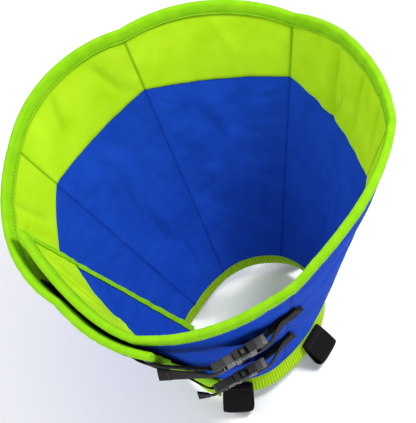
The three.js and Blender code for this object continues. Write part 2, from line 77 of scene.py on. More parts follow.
# Rows alternate between an edge or seam and the middle of the panel after it.
SECTIONS = (
    Section(-166.0, 0.886, 0.941, 1.260, 0.715),
    Section(-139.5, 1.038, 0.809, 1.049, 0.670),
    Section(-113.0, 1.113, 0.781, 0.936, 0.690),
    Section(-83.5, 1.040, 0.835, 0.790, 0.690),
    Section(-54.0, 0.918, 0.966, 0.809, 0.720),
    Section(-21.0, 0.879, 1.109, 0.797, 0.700),
    Section(12.0, 0.983, 1.113, 0.846, 0.710),
    Section(42.0, 1.099, 1.108, 0.846, 0.668),
    Section(72.0, 1.116, 1.046, 1.042, 0.760),
    Section(98.0, 1.034, 1.096, 1.050, 0.718),
    Section(124.0, 0.925, 1.105, 1.056, 0.772),
    Section(147.0, 0.875, 1.106, 1.235, 0.722),
    Section(169.0, 0.898, 1.047, 1.279, 0.768),
    Section(193.0, 1.045, 0.904, 1.348, 0.705),
    Section(217.0, 1.160, 0.804, 1.106, 0.740),
    Section(236.0, 1.200, 0.755, 1.054, 0.700),
    Section(254.0, 1.205, 0.769, 0.991, 0.720),
)
SEAMS = np.array([row.psi for row in SECTIONS[::2]])
PANELS = len(SEAMS) - 1
START, END = SEAMS[0], SEAMS[-1]


class Fold(NamedTuple):
    """A soft fold across the wall, from one place to another, with its half width and its depth.

    A positive depth lifts the cloth towards the cone's axis, where the camera sees it.
    """

    psi_from: float
    share_from: float
    psi_to: float
    share_to: float
    half_width_mm: float
    depth_mm: float


FOLDS = (
    Fold(36.0, 0.96, 34.4, 0.72, 3.0, -2.4),
    Fold(39.4, 0.95, 38.4, 0.73, 4.0, 1.6),
    Fold(52.0, 0.97, 49.3, 0.68, 3.4, -2.8),
    Fold(56.6, 0.95, 54.6, 0.69, 5.0, 1.9),
    Fold(23.0, 0.96, 18.2, 0.77, 3.0, -2.3),
    Fold(26.8, 0.95, 23.4, 0.76, 4.0, 1.5),
    Fold(44.0, 0.80, 50.0, 0.66, 3.0, -1.6),
    Fold(182.0, 0.97, 180.0, 0.77, 3.4, -2.2),
    Fold(185.6, 0.96, 184.2, 0.79, 4.2, 1.6),
    Fold(200.0, 0.96, 186.0, 0.88, 3.0, -1.8),
    Fold(150.0, 0.95, 154.0, 0.82, 4.0, -1.5),
    Fold(136.0, 0.93, 131.0, 0.80, 5.0, -1.3),
    Fold(96.0, 0.94, 92.0, 0.82, 5.0, 1.2),
    Fold(-157.0, 0.93, -147.0, 0.78, 3.6, -2.4),
    Fold(-152.0, 0.94, -141.0, 0.79, 4.4, 1.7),
    Fold(-148.0, 0.60, -128.0, 0.74, 5.0, 1.8),
    Fold(-60.0, 0.55, -84.0, 0.80, 8.0, -2.0),
    Fold(-62.0, 0.30, -92.0, 0.42, 7.0, -1.8),
    Fold(100.0, 0.66, 96.0, 0.30, 9.0, 1.8),
    Fold(146.0, 0.64, 143.0, 0.28, 9.0, 2.0),
    Fold(35.0, 0.62, 30.0, 0.25, 10.0, 2.2),
)


def eased(count: int, power: float = 1.0) -> Array:
    """Shares from 0 to 1 in count steps, closer together at both ends."""
    even = np.linspace(0.0, 1.0, count + 1)
    return (1 - power) * even + power * (1 - np.cos(math.pi * even)) / 2


def ripple(x: Array, y: Array, seed: float) -> Array:
    """Smooth noise from about -1 to 1, with a wave to about one unit of either coordinate."""
    pairs = zip(np.ravel(x), np.ravel(y))
    flat = np.fromiter((noise.noise((a, b, seed)) for a, b in pairs), float, np.size(x))
    return flat.reshape(np.shape(x)) * NOISE_GAIN


@dataclass(frozen=True)
class Wrap:
    """The cone's wall, wound a little over one turn, as the CAD source has it.

    A place on it is an azimuth psi in degrees, a distance d from the neck edge along the wall and
    a height h outwards from the middle of the wall, both in metres. slack and drag are the heights
    of its slow and its quick waves, pucker that of the gathers beside seams.
    """

    neck_radius: float = 66 * MM
    slant: float = 250 * MM
    flare: float = 24.0
    shell_thick: float = 4.6 * MM
    seam_thick: float = 2.4 * MM
    gap: float = 0.3 * MM
    facing_thick: float = 1.4 * MM
    mean_radius: float = 130 * MM
    slack: float = 0.9 * MM
    drag: float = 0.5 * MM
    free_reach: float = 14 * MM
    pucker: float = 0.6 * MM
    pucker_reach: float = 9 * MM
    line_pucker: float = 0.7
    line_reach: float = 8 * MM
    plumpness: float = 0.6
    fold_ease: float = 0.25
    cut_apart: float = 0.3

    def panel(self, psi: Array) -> Array:
        """Index of the panel that each azimuth lies in."""
        return np.clip(np.searchsorted(SEAMS, psi, side="left") - 1, 0, PANELS - 1)

    def column(self, key: str, psi: Array) -> Array:
        """One table column at each azimuth, on a parabola through each panel's three rows.

        Args:
            key: Name of the column.
            psi: Azimuths in degrees.

        Returns:
            The column's value at each azimuth.
        """
        x = np.asarray(psi, float)
        k = 2 * self.panel(x)
        rows = np.array([row.psi for row in SECTIONS])
        values = np.array([getattr(row, key) for row in SECTIONS])
        a, m, b = rows[k], rows[k + 1], rows[k + 2]
        return (
            values[k] * (x - m) * (x - b) / ((a - m) * (a - b))
            + values[k + 1] * (x - a) * (x - b) / ((m - a) * (m - b))
            + values[k + 2] * (x - a) * (x - m) / ((b - a) * (b - m))
        )

    def length(self, psi: Array) -> Array:
        """Length of the wall from neck edge to rim at each azimuth."""
        return self.slant * self.column("slant", psi)

    def band(self, psi: Array) -> Array:
        """Distance from the neck edge at which the lime facing starts."""
        return self.column("band", psi) * self.length(psi)

    def radius(self, psi: Array, d: Array) -> Array:
        """Distance of the wall's middle from the cone's axis."""
        lean = np.radians(self.flare * self.column("flare", psi))
        return self.neck_radius * self.column("neck", psi) + d * np.sin(lean)

    def place(self, psi: Array, d: Array, h: Array) -> Array:
        """Points in the frame at places on the wall.

        Args:
            psi: Azimuths in degrees.
            d: Distances along the wall in metres.
            h: Heights outwards in metres.

        Returns:
            One row of x, y and z for each place.
        """
        turn = np.radians(psi)
        lean = np.radians(self.flare * self.column("flare", psi))
        reach = self.radius(psi, d) + h * np.cos(lean)
        rise = d * np.cos(lean) - h * np.sin(lean)
        return np.stack([reach * np.cos(turn), reach * np.sin(turn), rise], axis=-1)

    def half(self, psi: Array, d: Array) -> Array:
        """Half thickness of the padding, full in a panel's middle and flat at seams and edges."""
        at = self.panel(psi)
        u = np.clip((psi - SEAMS[at]) / (SEAMS[at + 1] - SEAMS[at]), 0, 1)
        t, b = np.clip(d / self.length(psi), 0, 1), self.column("band", psi)
        v = np.where(t < b, t / b, (t - b) / (1 - b))
        swell = np.sqrt(np.clip(4 * v * (1 - v), 0, None)) * (4 * u * (1 - u)) ** self.plumpness
        return (self.seam_thick + (self.shell_thick - self.seam_thick) * swell) / 2

    def seam_distance(self, psi: Array, d: Array) -> Array:
        """Distance along the wall to the nearest seam or end."""
        nearest = np.min(np.abs(np.asarray(psi)[..., None] - SEAMS), axis=-1)
        return np.radians(nearest) * self.radius(psi, d)

    def drape(self, psi: Array, d: Array) -> Array:
        """How far the whole wall stands out of its plain form, outwards, in slack and folds."""
        share = d / self.length(psi)
        from_neck, from_rim = np.clip(share * 4, 0, 1), np.clip((1 - share) * 9, 0, 1)
        across = np.radians(psi) * self.mean_radius
        out = self.slack * ripple(across * 22, d * 9, 3.1) * from_neck
        free = np.clip(self.seam_distance(psi, d) / self.free_reach, 0, 1) * from_rim
        out = out + self.drag * ripple(across * 70 + d * 16, d * 15, 7.7) * free * from_neck
        for fold in FOLDS:
            out = out - fold.depth_mm * MM * self.along_fold(fold, psi, d)
        return out

    def along_fold(self, fold: Fold, psi: Array, d: Array) -> Array:
        """How close each place lies to a fold, from 0 to 1."""
        run = (d / self.length(psi) - fold.share_from) / (fold.share_to - fold.share_from)
        line = fold.psi_from + (fold.psi_to - fold.psi_from) * run
        aside = np.radians(psi - line) * self.radius(psi, d) / (fold.half_width_mm * MM)
        from_end = np.minimum(run + self.fold_ease, 1 + self.fold_ease - run)
        ends = np.clip(from_end / (2 * self.fold_ease), 0, 1)
        return np.exp(-np.clip(aside**2, 0, 30)) * (3 - 2 * ends) * ends**2

    def puckered(self, psi: Array, d: Array, side: Side) -> Array:
        """Small gathers of one skin beside the seams and the facing's edge."""
        away = self.seam_distance(psi, d)
        band = np.abs(d - self.band(psi))
        along = ripple(d * 95, self.panel(psi) * 7.3 + away * 40, 5.0 + side.value)
        cross = ripple(np.radians(psi) * 13, band * 40, 9.0 + side.value)
        beside_line = self.line_pucker * cross * np.exp(-band / self.line_reach)
        return self.pucker * (along * np.exp(-away / self.pucker_reach) + beside_line)

    def skin(self, psi: Array, d: Array, side: Side) -> Array:
        """Height of the outer or inner skin."""
        swell = self.half(psi, d) + self.puckered(psi, d, side)
        return self.drape(psi, d) + side.value * swell

    def stack(self, psi: Array, d: Array) -> Array:
        """Height of the innermost layer, the facing included above its own edge."""
        layers = np.where(d > self.band(psi) - 0.1 * MM, self.facing_thick, 0.0)
        return self.skin(psi, d, Side.INNER) - self.gap - layers

    def up(self, psi: float) -> Vector:
        """Direction up the wall at an azimuth."""
        low, high = self.place(np.array([psi, psi]), np.array([0.0, 1.0]), np.zeros(2))
        return Vector(high - low).normalized()

    def out(self, psi: float) -> Vector:
        """Direction out of the wall at an azimuth."""
        low, high = self.place(np.array([psi, psi]), np.zeros(2), np.array([0.0, 1.0]))
        return Vector(high - low).normalized()

    def cut(self, psi: Array, d: Array) -> Array:
        """Flat lengths of a place in its own panel's cut, in metres, for the grain of the cloth."""
        at = self.panel(psi)
        centre = (SEAMS[at] + SEAMS[at + 1]) / 2
        along = np.radians(psi - centre) * self.radius(psi, d) + at * self.cut_apart
        return np.stack([along, d], axis=-1)


WRAP = Wrap()


def linear(code: str) -> Colour:
    """Turns an sRGB hex colour into Blender's linear one."""
    parts = [int(code[i : i + 2], 16) / 255 for i in (1, 3, 5)]
    r, g, b = (c / 12.92 if c <= 0.04045 else ((c + 0.055) / 1.055) ** 2.4 for c in parts)
    return r, g, b, 1.0


def add_node(tree: bpy.types.NodeTree, kind: str, inputs: dict | None = None, **settings) -> bpy.types.Node:
    """Adds a node to a tree.

    Args:
        tree: The material's node tree.
        kind: Blender's name for the type of node.
        inputs: Values or sockets for its inputs, by name or number.
        **settings: The node's own properties.

    Returns:
        The new node.
    """
    node = tree.nodes.new(kind)
    for key, value in settings.items():
        setattr(node, key, value)
    for key, value in (inputs or {}).items():
        if isinstance(value, bpy.types.NodeSocket):
            tree.links.new(value, node.inputs[key])
        else:
            node.inputs[key].default_value = value
    return node


def wave_scale(pitch_mm: float) -> float:
    """Wave texture scale that repeats every pitch on coordinates in millimetres."""
    return math.pi / (10 * pitch_mm)


@dataclass(frozen=True)
class Finish:
    """What one real material looks like."""

    name: str
    colour: str
    shade: str
    roughness: float = 0.8
    ior: float = 1.5
    specular: float = 0.5

    @property
    def tones(self) -> dict[int, Colour]:
        """The shade and the colour, as the two ends of a mix."""
        return {6: linear(self.shade), 7: linear(self.colour)}

    def material(self) -> bpy.types.Material:
        """Makes the material, or returns the one made before."""
        made = bpy.data.materials.get(self.name)
        if made is None:
            made = bpy.data.materials.new(self.name)
            made.use_nodes = True
            shader = made.node_tree.nodes["Principled BSDF"]
            shader.inputs["IOR"].default_value = self.ior
            shader.inputs["Roughness"].default_value = self.roughness
            shader.inputs["Specular IOR Level"].default_value = self.specular
            for key, socket in self.dress(made.node_tree).items():
                made.node_tree.links.new(socket, shader.inputs[key])
        return made

    def dress(self, tree: bpy.types.NodeTree) -> Sockets:
        """Draws the pattern of the real material and gives the sockets for the shader's inputs."""
        raise NotImplementedError

    def millimetres(self, tree: bpy.types.NodeTree) -> bpy.types.NodeSocket:
        """Coordinates on the flat cut of the piece, in millimetres."""
        uv = add_node(tree, "ShaderNodeUVMap", uv_map="cut")
        scaled = add_node(
            tree, "ShaderNodeMapping", {"Vector": uv.outputs["UV"], "Scale": (1000, 1000, 1000)}
        )
        return scaled.outputs["Vector"]

    def blotched(
        self, tree: bpy.types.NodeTree, where: bpy.types.NodeSocket, size_mm: float
    ) -> bpy.types.NodeSocket:
        """Slow change between the finish's two colours.

        Args:
            tree: The material's node tree.
            where: Coordinates in millimetres.
            size_mm: Usual size of a blotch.

        Returns:
            The colour socket.
        """
        patch = add_node(
            tree, "ShaderNodeTexNoise", {"Vector": where, "Scale": 1 / size_mm, "Detail": 4.0}
        )
        spread = add_node(
            tree, "ShaderNodeMapRange", {"Value": patch.outputs["Fac"], "From Min": 0.3, "From Max": 0.7}
        )
        mix = add_node(
            tree, "ShaderNodeMix", {0: spread.outputs["Result"], **self.tones}, data_type="RGBA"
        )
        return mix.outputs[2]


@dataclass(frozen=True)
class WovenPolyester(Finish):
    """Plain weave of filament polyester, dyed in the yarn: a fine even grid with a faint shimmer."""

    # seam: colour of the dark seam lines and of the painted shade in seam grooves, fold valleys and beside
    # the rim's tape.
    seam: str = "#101010"
    thread_mm: float = 1.1  # real threads lie 0.35 mm apart, drawn coarser so that they show
    relief_mm: float = 0.12
    blotch_mm: float = 26.0

    def dress(self, tree: bpy.types.NodeTree) -> Sockets:
        """Weave as bump and as a light change of tone, over slow changes of the dye, with dark seam lines
        and painted shade along seams, folds and the tape's edge.
        """
        where = self.millimetres(tree)
        threads = [
            add_node(
                tree, "ShaderNodeTexWave",
                {"Vector": where, "Scale": wave_scale(self.thread_mm), "Distortion": 0.6,
                 "Detail": 1.0, "Detail Scale": 0.4},
                wave_type="BANDS", bands_direction=axis,
            )
            for axis in ("X", "Y")
        ]
        weave = add_node(
            tree, "ShaderNodeMath", {0: threads[0].outputs["Fac"], 1: threads[1].outputs["Fac"]},
            operation="MULTIPLY",
        )
        tone = add_node(
            tree, "ShaderNodeMapRange", {"Value": weave.outputs[0], "To Min": 0.9, "To Max": 1.06}
        )
        woven = add_node(
            tree, "ShaderNodeHueSaturation",
            {"Color": self.blotched(tree, where, self.blotch_mm), "Value": tone.outputs["Result"]},
        )
        # Painted shade: mixes towards the seam colour in seam grooves, fold valleys and beside the rim's
        # tape, over the seams' own dark line.
        seam_lines_and_painted_shade = add_node(tree, "ShaderNodeAttribute", attribute_name="seam_lines_and_painted_shade")
        colour = add_node(
            tree, "ShaderNodeMix",
            {0: seam_lines_and_painted_shade.outputs["Fac"], 6: woven.outputs["Color"], 7: linear(self.seam)}, data_type="RGBA",
        )
        slub = add_node(tree, "ShaderNodeTexNoise", {"Vector": where, "Scale": 0.9, "Detail": 3.0})
        rough = add_node(
            tree, "ShaderNodeMapRange",
            {"Value": slub.outputs["Fac"], "To Min": self.roughness - 0.08, "To Max": self.roughness + 0.1},
        )
        height = add_node(
            tree, "ShaderNodeMath",
            {0: slub.outputs["Fac"], 1: 0.5, 2: weave.outputs[0]}, operation="MULTIPLY_ADD",
        )
        bump = add_node(
            tree, "ShaderNodeBump",
            {"Height": height.outputs[0], "Distance": self.relief_mm * MM, "Strength": 0.6},
        )
        return {"Base Color": colour.outputs[2], "Roughness": rough.outputs["Result"],
                "Normal": bump.outputs["Normal"]}


@dataclass(frozen=True)
class BiasTape(Finish):
    """Folded polyester tape cut on the bias: its threads cross the edge at 45 degrees."""

    thread_mm: float = 1.2
    relief_mm: float = 0.14
    blotch_mm: float = 14.0

    def dress(self, tree: bpy.types.NodeTree) -> Sockets:
        """Diagonal weave and short creases across the tape."""
        where = self.millimetres(tree)
        slanted = add_node(
            tree, "ShaderNodeMapping", {"Vector": where, "Rotation": (0, 0, math.radians(45))}
        )
        weave = add_node(
            tree, "ShaderNodeTexWave",
            {"Vector": slanted.outputs["Vector"], "Scale": wave_scale(self.thread_mm), "Distortion": 0.8},
            wave_type="BANDS", bands_direction="X",
        )
        drawn_out = add_node(tree, "ShaderNodeMapping", {"Vector": where, "Scale": (0.28, 0.06, 1)})
        creases = add_node(
            tree, "ShaderNodeTexNoise",
            {"Vector": drawn_out.outputs["Vector"], "Scale": 1.0, "Detail": 3.0},
        )
        height = add_node(
            tree, "ShaderNodeMath",
            {0: creases.outputs["Fac"], 1: 4.0, 2: weave.outputs["Fac"]}, operation="MULTIPLY_ADD",
        )
        bump = add_node(
            tree, "ShaderNodeBump",
            {"Height": height.outputs[0], "Distance": self.relief_mm * MM, "Strength": 0.7},
        )
        return {"Base Color": self.blotched(tree, where, self.blotch_mm), "Normal": bump.outputs["Normal"]}


@dataclass(frozen=True)
class RibKnit(Finish):
    """Doubled rib knit: the loops of its ribs run across the cuff, with painted shade in the furrows."""

    rib_mm: float = 2.8
    loop_mm: float = 1.1
    relief_mm: float = 0.25

    def dress(self, tree: bpy.types.NodeTree) -> Sockets:
        """Rows of loops on the modelled ribs, with painted shade in the furrows."""
        where = self.millimetres(tree)
        ribs = add_node(
            tree, "ShaderNodeTexWave", {"Vector": where, "Scale": wave_scale(self.rib_mm)},
            wave_type="BANDS", bands_direction="X",
        )
        loops = add_node(
            tree, "ShaderNodeTexWave",
            {"Vector": where, "Scale": wave_scale(self.loop_mm), "Distortion": 1.5, "Detail Scale": 0.8},
            wave_type="BANDS", bands_direction="Y",
        )
        # Painted shade: the ribs' wave darkens the furrows towards the shade colour.
        mix = add_node(tree, "ShaderNodeMix", {0: ribs.outputs["Fac"], **self.tones}, data_type="RGBA")
        bump = add_node(
            tree, "ShaderNodeBump",
            {"Height": loops.outputs["Fac"], "Distance": self.relief_mm * MM, "Strength": 0.6},
        )
        return {"Base Color": mix.outputs[2], "Normal": bump.outputs["Normal"]}


@dataclass(frozen=True)
class Webbing(Finish):
    """Black polypropylene webbing: flat glossy filaments in a herringbone along the tape."""

    rib_mm: float = 1.6
    column_mm: float = 3.04
    relief_mm: float = 0.1

    def dress(self, tree: bpy.types.NodeTree) -> Sockets:
        """Cross ribs broken by lengthwise columns, with a painted highlight where they stand proud."""
        where = self.millimetres(tree)
        ribs = add_node(
            tree, "ShaderNodeTexWave",
            {"Vector": where, "Scale": wave_scale(self.rib_mm), "Distortion": 0.5},
            wave_type="BANDS", bands_direction="X",
        )
        columns = add_node(
            tree, "ShaderNodeTexWave", {"Vector": where, "Scale": wave_scale(self.column_mm)},
            wave_type="BANDS", bands_direction="Y",
        )
        weave = add_node(
            tree, "ShaderNodeMath", {0: ribs.outputs["Fac"], 1: columns.outputs["Fac"]},
            operation="MULTIPLY",
        )
        # Painted highlight: the raised weave is mixed towards the paler colour, the hollows towards the
        # darker one.
        mix = add_node(tree, "ShaderNodeMix", {0: weave.outputs[0], **self.tones}, data_type="RGBA")
        bump = add_node(
            tree, "ShaderNodeBump",
            {"Height": weave.outputs[0], "Distance": self.relief_mm * MM, "Strength": 0.6},
        )
        return {"Base Color": mix.outputs[2], "Normal": bump.outputs["Normal"]}


@dataclass(frozen=True)
class HookTape(Finish):
    """Black nylon hook-and-loop tape: a deep matt nap that swallows light."""

    nap_mm: float = 0.9
    relief_mm: float = 0.5

    def dress(self, tree: bpy.types.NodeTree) -> Sockets:
        """Fine tangled nap, with painted shade between its tufts."""
        where = self.millimetres(tree)
        nap = add_node(tree, "ShaderNodeTexVoronoi", {"Vector": where, "Scale": 1 / self.nap_mm})
        # Painted shade: the nap's cells darken towards their edges, between the tufts.
        mix = add_node(
            tree, "ShaderNodeMix",
            {0: nap.outputs["Distance"], 6: linear(self.colour), 7: linear(self.shade)},
            data_type="RGBA",
        )
        bump = add_node(
            tree, "ShaderNodeBump",
            {"Height": nap.outputs["Distance"], "Distance": self.relief_mm * MM, "Strength": 0.9},
        )
        return {"Base Color": mix.outputs[2], "Normal": bump.outputs["Normal"]}


@dataclass(frozen=True)
class MouldedAcetal(Finish):
    """Black injection-moulded acetal: smooth, waxy, with a faint spark-eroded grain."""

    grain_mm: float = 0.8
    relief_mm: float = 0.04

    def dress(self, tree: bpy.types.NodeTree) -> Sockets:
        """Grain in the gloss, and slow smears of a paler black."""
        where = add_node(tree, "ShaderNodeTexCoord").outputs["Object"]
        grain = add_node(
            tree, "ShaderNodeTexNoise", {"Vector": where, "Scale": 1000 / self.grain_mm, "Detail": 2.0}
        )
        rough = add_node(
            tree, "ShaderNodeMapRange",
            {"Value": grain.outputs["Fac"], "To Min": self.roughness - 0.1, "To Max": self.roughness + 0.12},
        )
        smear = add_node(tree, "ShaderNodeTexNoise", {"Vector": where, "Scale": 90.0, "Detail": 4.0})
        mix = add_node(tree, "ShaderNodeMix", {0: smear.outputs["Fac"], **self.tones}, data_type="RGBA")
        bump = add_node(
            tree, "ShaderNodeBump",
            {"Height": grain.outputs["Fac"], "Distance": self.relief_mm * MM, "Strength": 0.4},
        )
        return {"Base Color": mix.outputs[2], "Roughness": rough.outputs["Result"],
                "Normal": bump.outputs["Normal"]}


@dataclass(frozen=True)
class Clouded(Finish):
    """A plain matt surface in two close tones, in clouds of one size."""

    clouds_per_metre: float = 900.0

    def dress(self, tree: bpy.types.NodeTree) -> Sockets:
        """Clouds of the two tones."""
        where = add_node(tree, "ShaderNodeTexCoord").outputs["Object"]
        cloud = add_node(
            tree, "ShaderNodeTexNoise", {"Vector": where, "Scale": self.clouds_per_metre, "Detail": 2.0}
        )
        mix = add_node(tree, "ShaderNodeMix", {0: cloud.outputs["Fac"], **self.tones}, data_type="RGBA")
        return {"Base Color": mix.outputs[2]}


@dataclass(frozen=True)
class SewingThread(Clouded):
    """Twisted polyester thread: its plies show as two tones about a millimetre apart."""


@dataclass(frozen=True)
class PaperSweep(Clouded):
    """Seamless white studio paper: a matt pale ground with barely visible fibre clouds."""

    clouds_per_metre: float = 3.0


BLUE_CLOTH = WovenPolyester(
    "blue_woven_polyester", "#1947ba", "#1440ae", roughness=0.75, specular=0.03, seam="#0c2f90"
)
LIME_CLOTH = WovenPolyester(
    "lime_woven_polyester", "#b6e324", "#a8d914", roughness=0.76, specular=0.05, seam="#5a9408"
)
LIME_TAPE = BiasTape("lime_bias_tape", "#8cc814", "#7abc0c", roughness=0.72, specular=0.08)
LIME_RIB = RibKnit("lime_rib_knit", "#aed626", "#84b40e", roughness=0.85, specular=0.05)
BLACK_WEBBING = Webbing(
    "black_polypropylene_webbing", "#1a191b", "#0d0d0e", roughness=0.7, ior=1.49, specular=0.08
)
BLACK_NAP = HookTape("black_hook_tape", "#161617", "#050505", roughness=0.9, ior=1.53, specular=0.2)
BLACK_ACETAL = MouldedAcetal("black_moulded_acetal", "#2a2a2b", "#1c1c1d", roughness=0.42, ior=1.48)
BLUE_THREAD = SewingThread("blue_sewing_thread", "#10308c", "#0a2270", roughness=0.6)
LIME_THREAD = SewingThread("lime_sewing_thread", "#5f9a08", "#437404", roughness=0.6)
BLACK_THREAD = SewingThread("black_sewing_thread", "#2e2e30", "#1a1a1b", roughness=0.6)
WHITE_PAPER = PaperSweep("white_studio_paper", "#ffffff", "#fbfbfb", roughness=0.95)


def flat_pattern(across: int, up: int, layers: int = 1) -> bmesh.types.BMesh:
    """A flat unit pattern of even cells, as one layer or as a closed double one.

    Args:
        across: Cells along x.
        up: Cells along y.
        layers: 1 for a single sheet, 2 for two skins one unit apart and joined at the edges.

    Returns:
        The pattern, with x and y from 0 to 1.
    """
    bm = bmesh.new()
    bmesh.ops.create_grid(bm, x_segments=across, y_segments=up, size=0.5)
    bmesh.ops.translate(bm, verts=bm.verts, vec=(0.5, 0.5, 0.0))
    if layers == 2:
        bmesh.ops.solidify(bm, geom=bm.faces[:], thickness=1.0)
        low = min(v.co.z for v in bm.verts)
        bmesh.ops.translate(bm, verts=bm.verts, vec=(0.0, 0.0, -low))
        bmesh.ops.recalc_face_normals(bm, faces=bm.faces)
    return bm


def laid(name: str, bm: bmesh.types.BMesh, lay: Lay) -> bpy.types.Object:
    """Bends a flat pattern into place and keeps its flat lengths as the UV map named cut.

    Args:
        name: Name of the piece.
        bm: The flat pattern, which is freed.
        lay: Gives the points and the flat lengths for the pattern's x, y and z, and where wanted the
            seams' dark line with painted shade along seams, folds and the tape's edge, and how firmly the
            cloth is held, both from 0 to 1.

    Returns:
        The piece, linked to the scene.
    """
    mesh = bpy.data.meshes.new(name)
    bm.to_mesh(mesh)
    bm.free()
    flat = np.empty(len(mesh.vertices) * 3)
    mesh.vertices.foreach_get("co", flat)
    points, cut, *marks = lay(*flat.reshape(-1, 3).T)
    mesh.vertices.foreach_set("co", np.ascontiguousarray(points, float).ravel())
    for mark, values in zip(("seam_lines_and_painted_shade", "held"), marks):
        mesh.attributes.new(mark, "FLOAT", "POINT").data.foreach_set("value", values)
    corners = np.empty(len(mesh.loops), np.int32)
    mesh.loops.foreach_get("vertex_index", corners)
    mesh.uv_layers.new(name="cut").data.foreach_set("uv", cut[corners].ravel())
    mesh.update()
    return shown(name, mesh)


def steps(share: Array, count: int) -> Array:
    """Whole numbers from 0 to count for shares from 0 to 1."""
    return np.rint(share * count).astype(int)


def lengths(points: Array) -> Array:
    """Length of a line up to each of its points."""
    return np.append(0, np.cumsum(np.linalg.norm(np.diff(points, axis=0), axis=1)))


def sampled(at: Array, run: Array, rows: Array) -> Array:
    """Rows of three values, read off at lengths along a line."""
    return np.stack([np.interp(at, run, rows[:, k]) for k in range(3)], axis=-1)


def tape_section(v: Array, width: float, thick: float) -> tuple[Array, Array]:
    """Places across and through flat webbing with rounded edges, once round its section."""
    angle = 2 * math.pi * v
    y = np.sign(np.cos(angle)) * np.abs(np.cos(angle)) ** 0.5 * width / 2
    return y, np.sign(np.sin(angle)) * np.abs(np.sin(angle)) ** 0.45 * thick / 2


def shown(name: str, mesh: bpy.types.Mesh) -> bpy.types.Object:
    """Puts a mesh in the scene as a smooth piece at the origin."""
    mesh.polygons.foreach_set("use_smooth", [True] * len(mesh.polygons))
    piece = bpy.data.objects.new(name, mesh)
    bpy.context.scene.collection.objects.link(piece)
    return piece


def closed_up(piece: bpy.types.Object) -> bpy.types.Object:
    """Joins a rolled-up pattern along its meeting edges and closes both of its ends."""
    bm = bmesh.new()
    bm.from_mesh(piece.data)
    bmesh.ops.remove_doubles(bm, verts=bm.verts, dist=0.002 * MM)
    bmesh.ops.holes_fill(bm, edges=[e for e in bm.edges if e.is_boundary], sides=0)
    bmesh.ops.recalc_face_normals(bm, faces=bm.faces)
    bm.to_mesh(piece.data)
    bm.free()
    return piece


def dressed(
    piece: bpy.types.Object, finish: Finish, nodes: Sequence[str] = ()
) -> bpy.types.Object:
    """Gives a piece its finish and its body, and hides the CAD nodes that it stands for.

    Args:
        piece: The piece.
        finish: What it is made of.
        nodes: CAD nodes that it replaces.

    Returns:
        The same piece.
    """
    piece.data.materials.clear()
    piece.data.materials.append(finish.material())
    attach(piece, BODY)
    if nodes:
        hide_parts(*nodes)
    log.info("%s: %d faces", piece.name, len(piece.data.polygons))
    return piece


class Turn(NamedTuple):
    """A point of a folded tape's outline: reach from the fold, side from 1 to -1, and lift."""

    reach_mm: float
    side: float
    lift_mm: float


TAPE_OUTLINE = (
    Turn(11.0, 1, 0.05), Turn(11.05, 1, 0.45), Turn(10.9, 1, 0.85), Turn(10.4, 1, 1.08),
    Turn(9.7, 1, 1.0), Turn(9.0, 1, 0.66), Turn(8.4, 1, 0.86), Turn(7.4, 1, 1.25), Turn(5.6, 1, 1.5),
    Turn(3.6, 1, 1.5), Turn(1.8, 1, 1.4), Turn(0.3, 1, 1.1), Turn(-0.8, 0.85, 0.6), Turn(-1.3, 0.5, 0.1),
    Turn(-1.45, 0, 0), Turn(-1.3, -0.5, 0.1), Turn(-0.8, -0.85, 0.6), Turn(0.3, -1, 1.1),
    Turn(1.8, -1, 1.4), Turn(3.6, -1, 1.5), Turn(5.6, -1, 1.5), Turn(7.4, -1, 1.25),
    Turn(8.4, -1, 0.86), Turn(9.0, -1, 0.66), Turn(9.7, -1, 1.0), Turn(10.4, -1, 1.08),
    Turn(10.9, -1, 0.85), Turn(11.05, -1, 0.45), Turn(11.0, -1, 0.05), Turn(8.0, -1, 0.05),
    Turn(4.0, -1, 0.05), Turn(0.2, -1, 0.05), Turn(-0.3, -0.8, 0), Turn(-0.3, 0.8, 0),
    Turn(0.2, 1, 0.05), Turn(4.0, 1, 0.05), Turn(8.0, 1, 0.05), Turn(11.0, 1, 0.05),
)


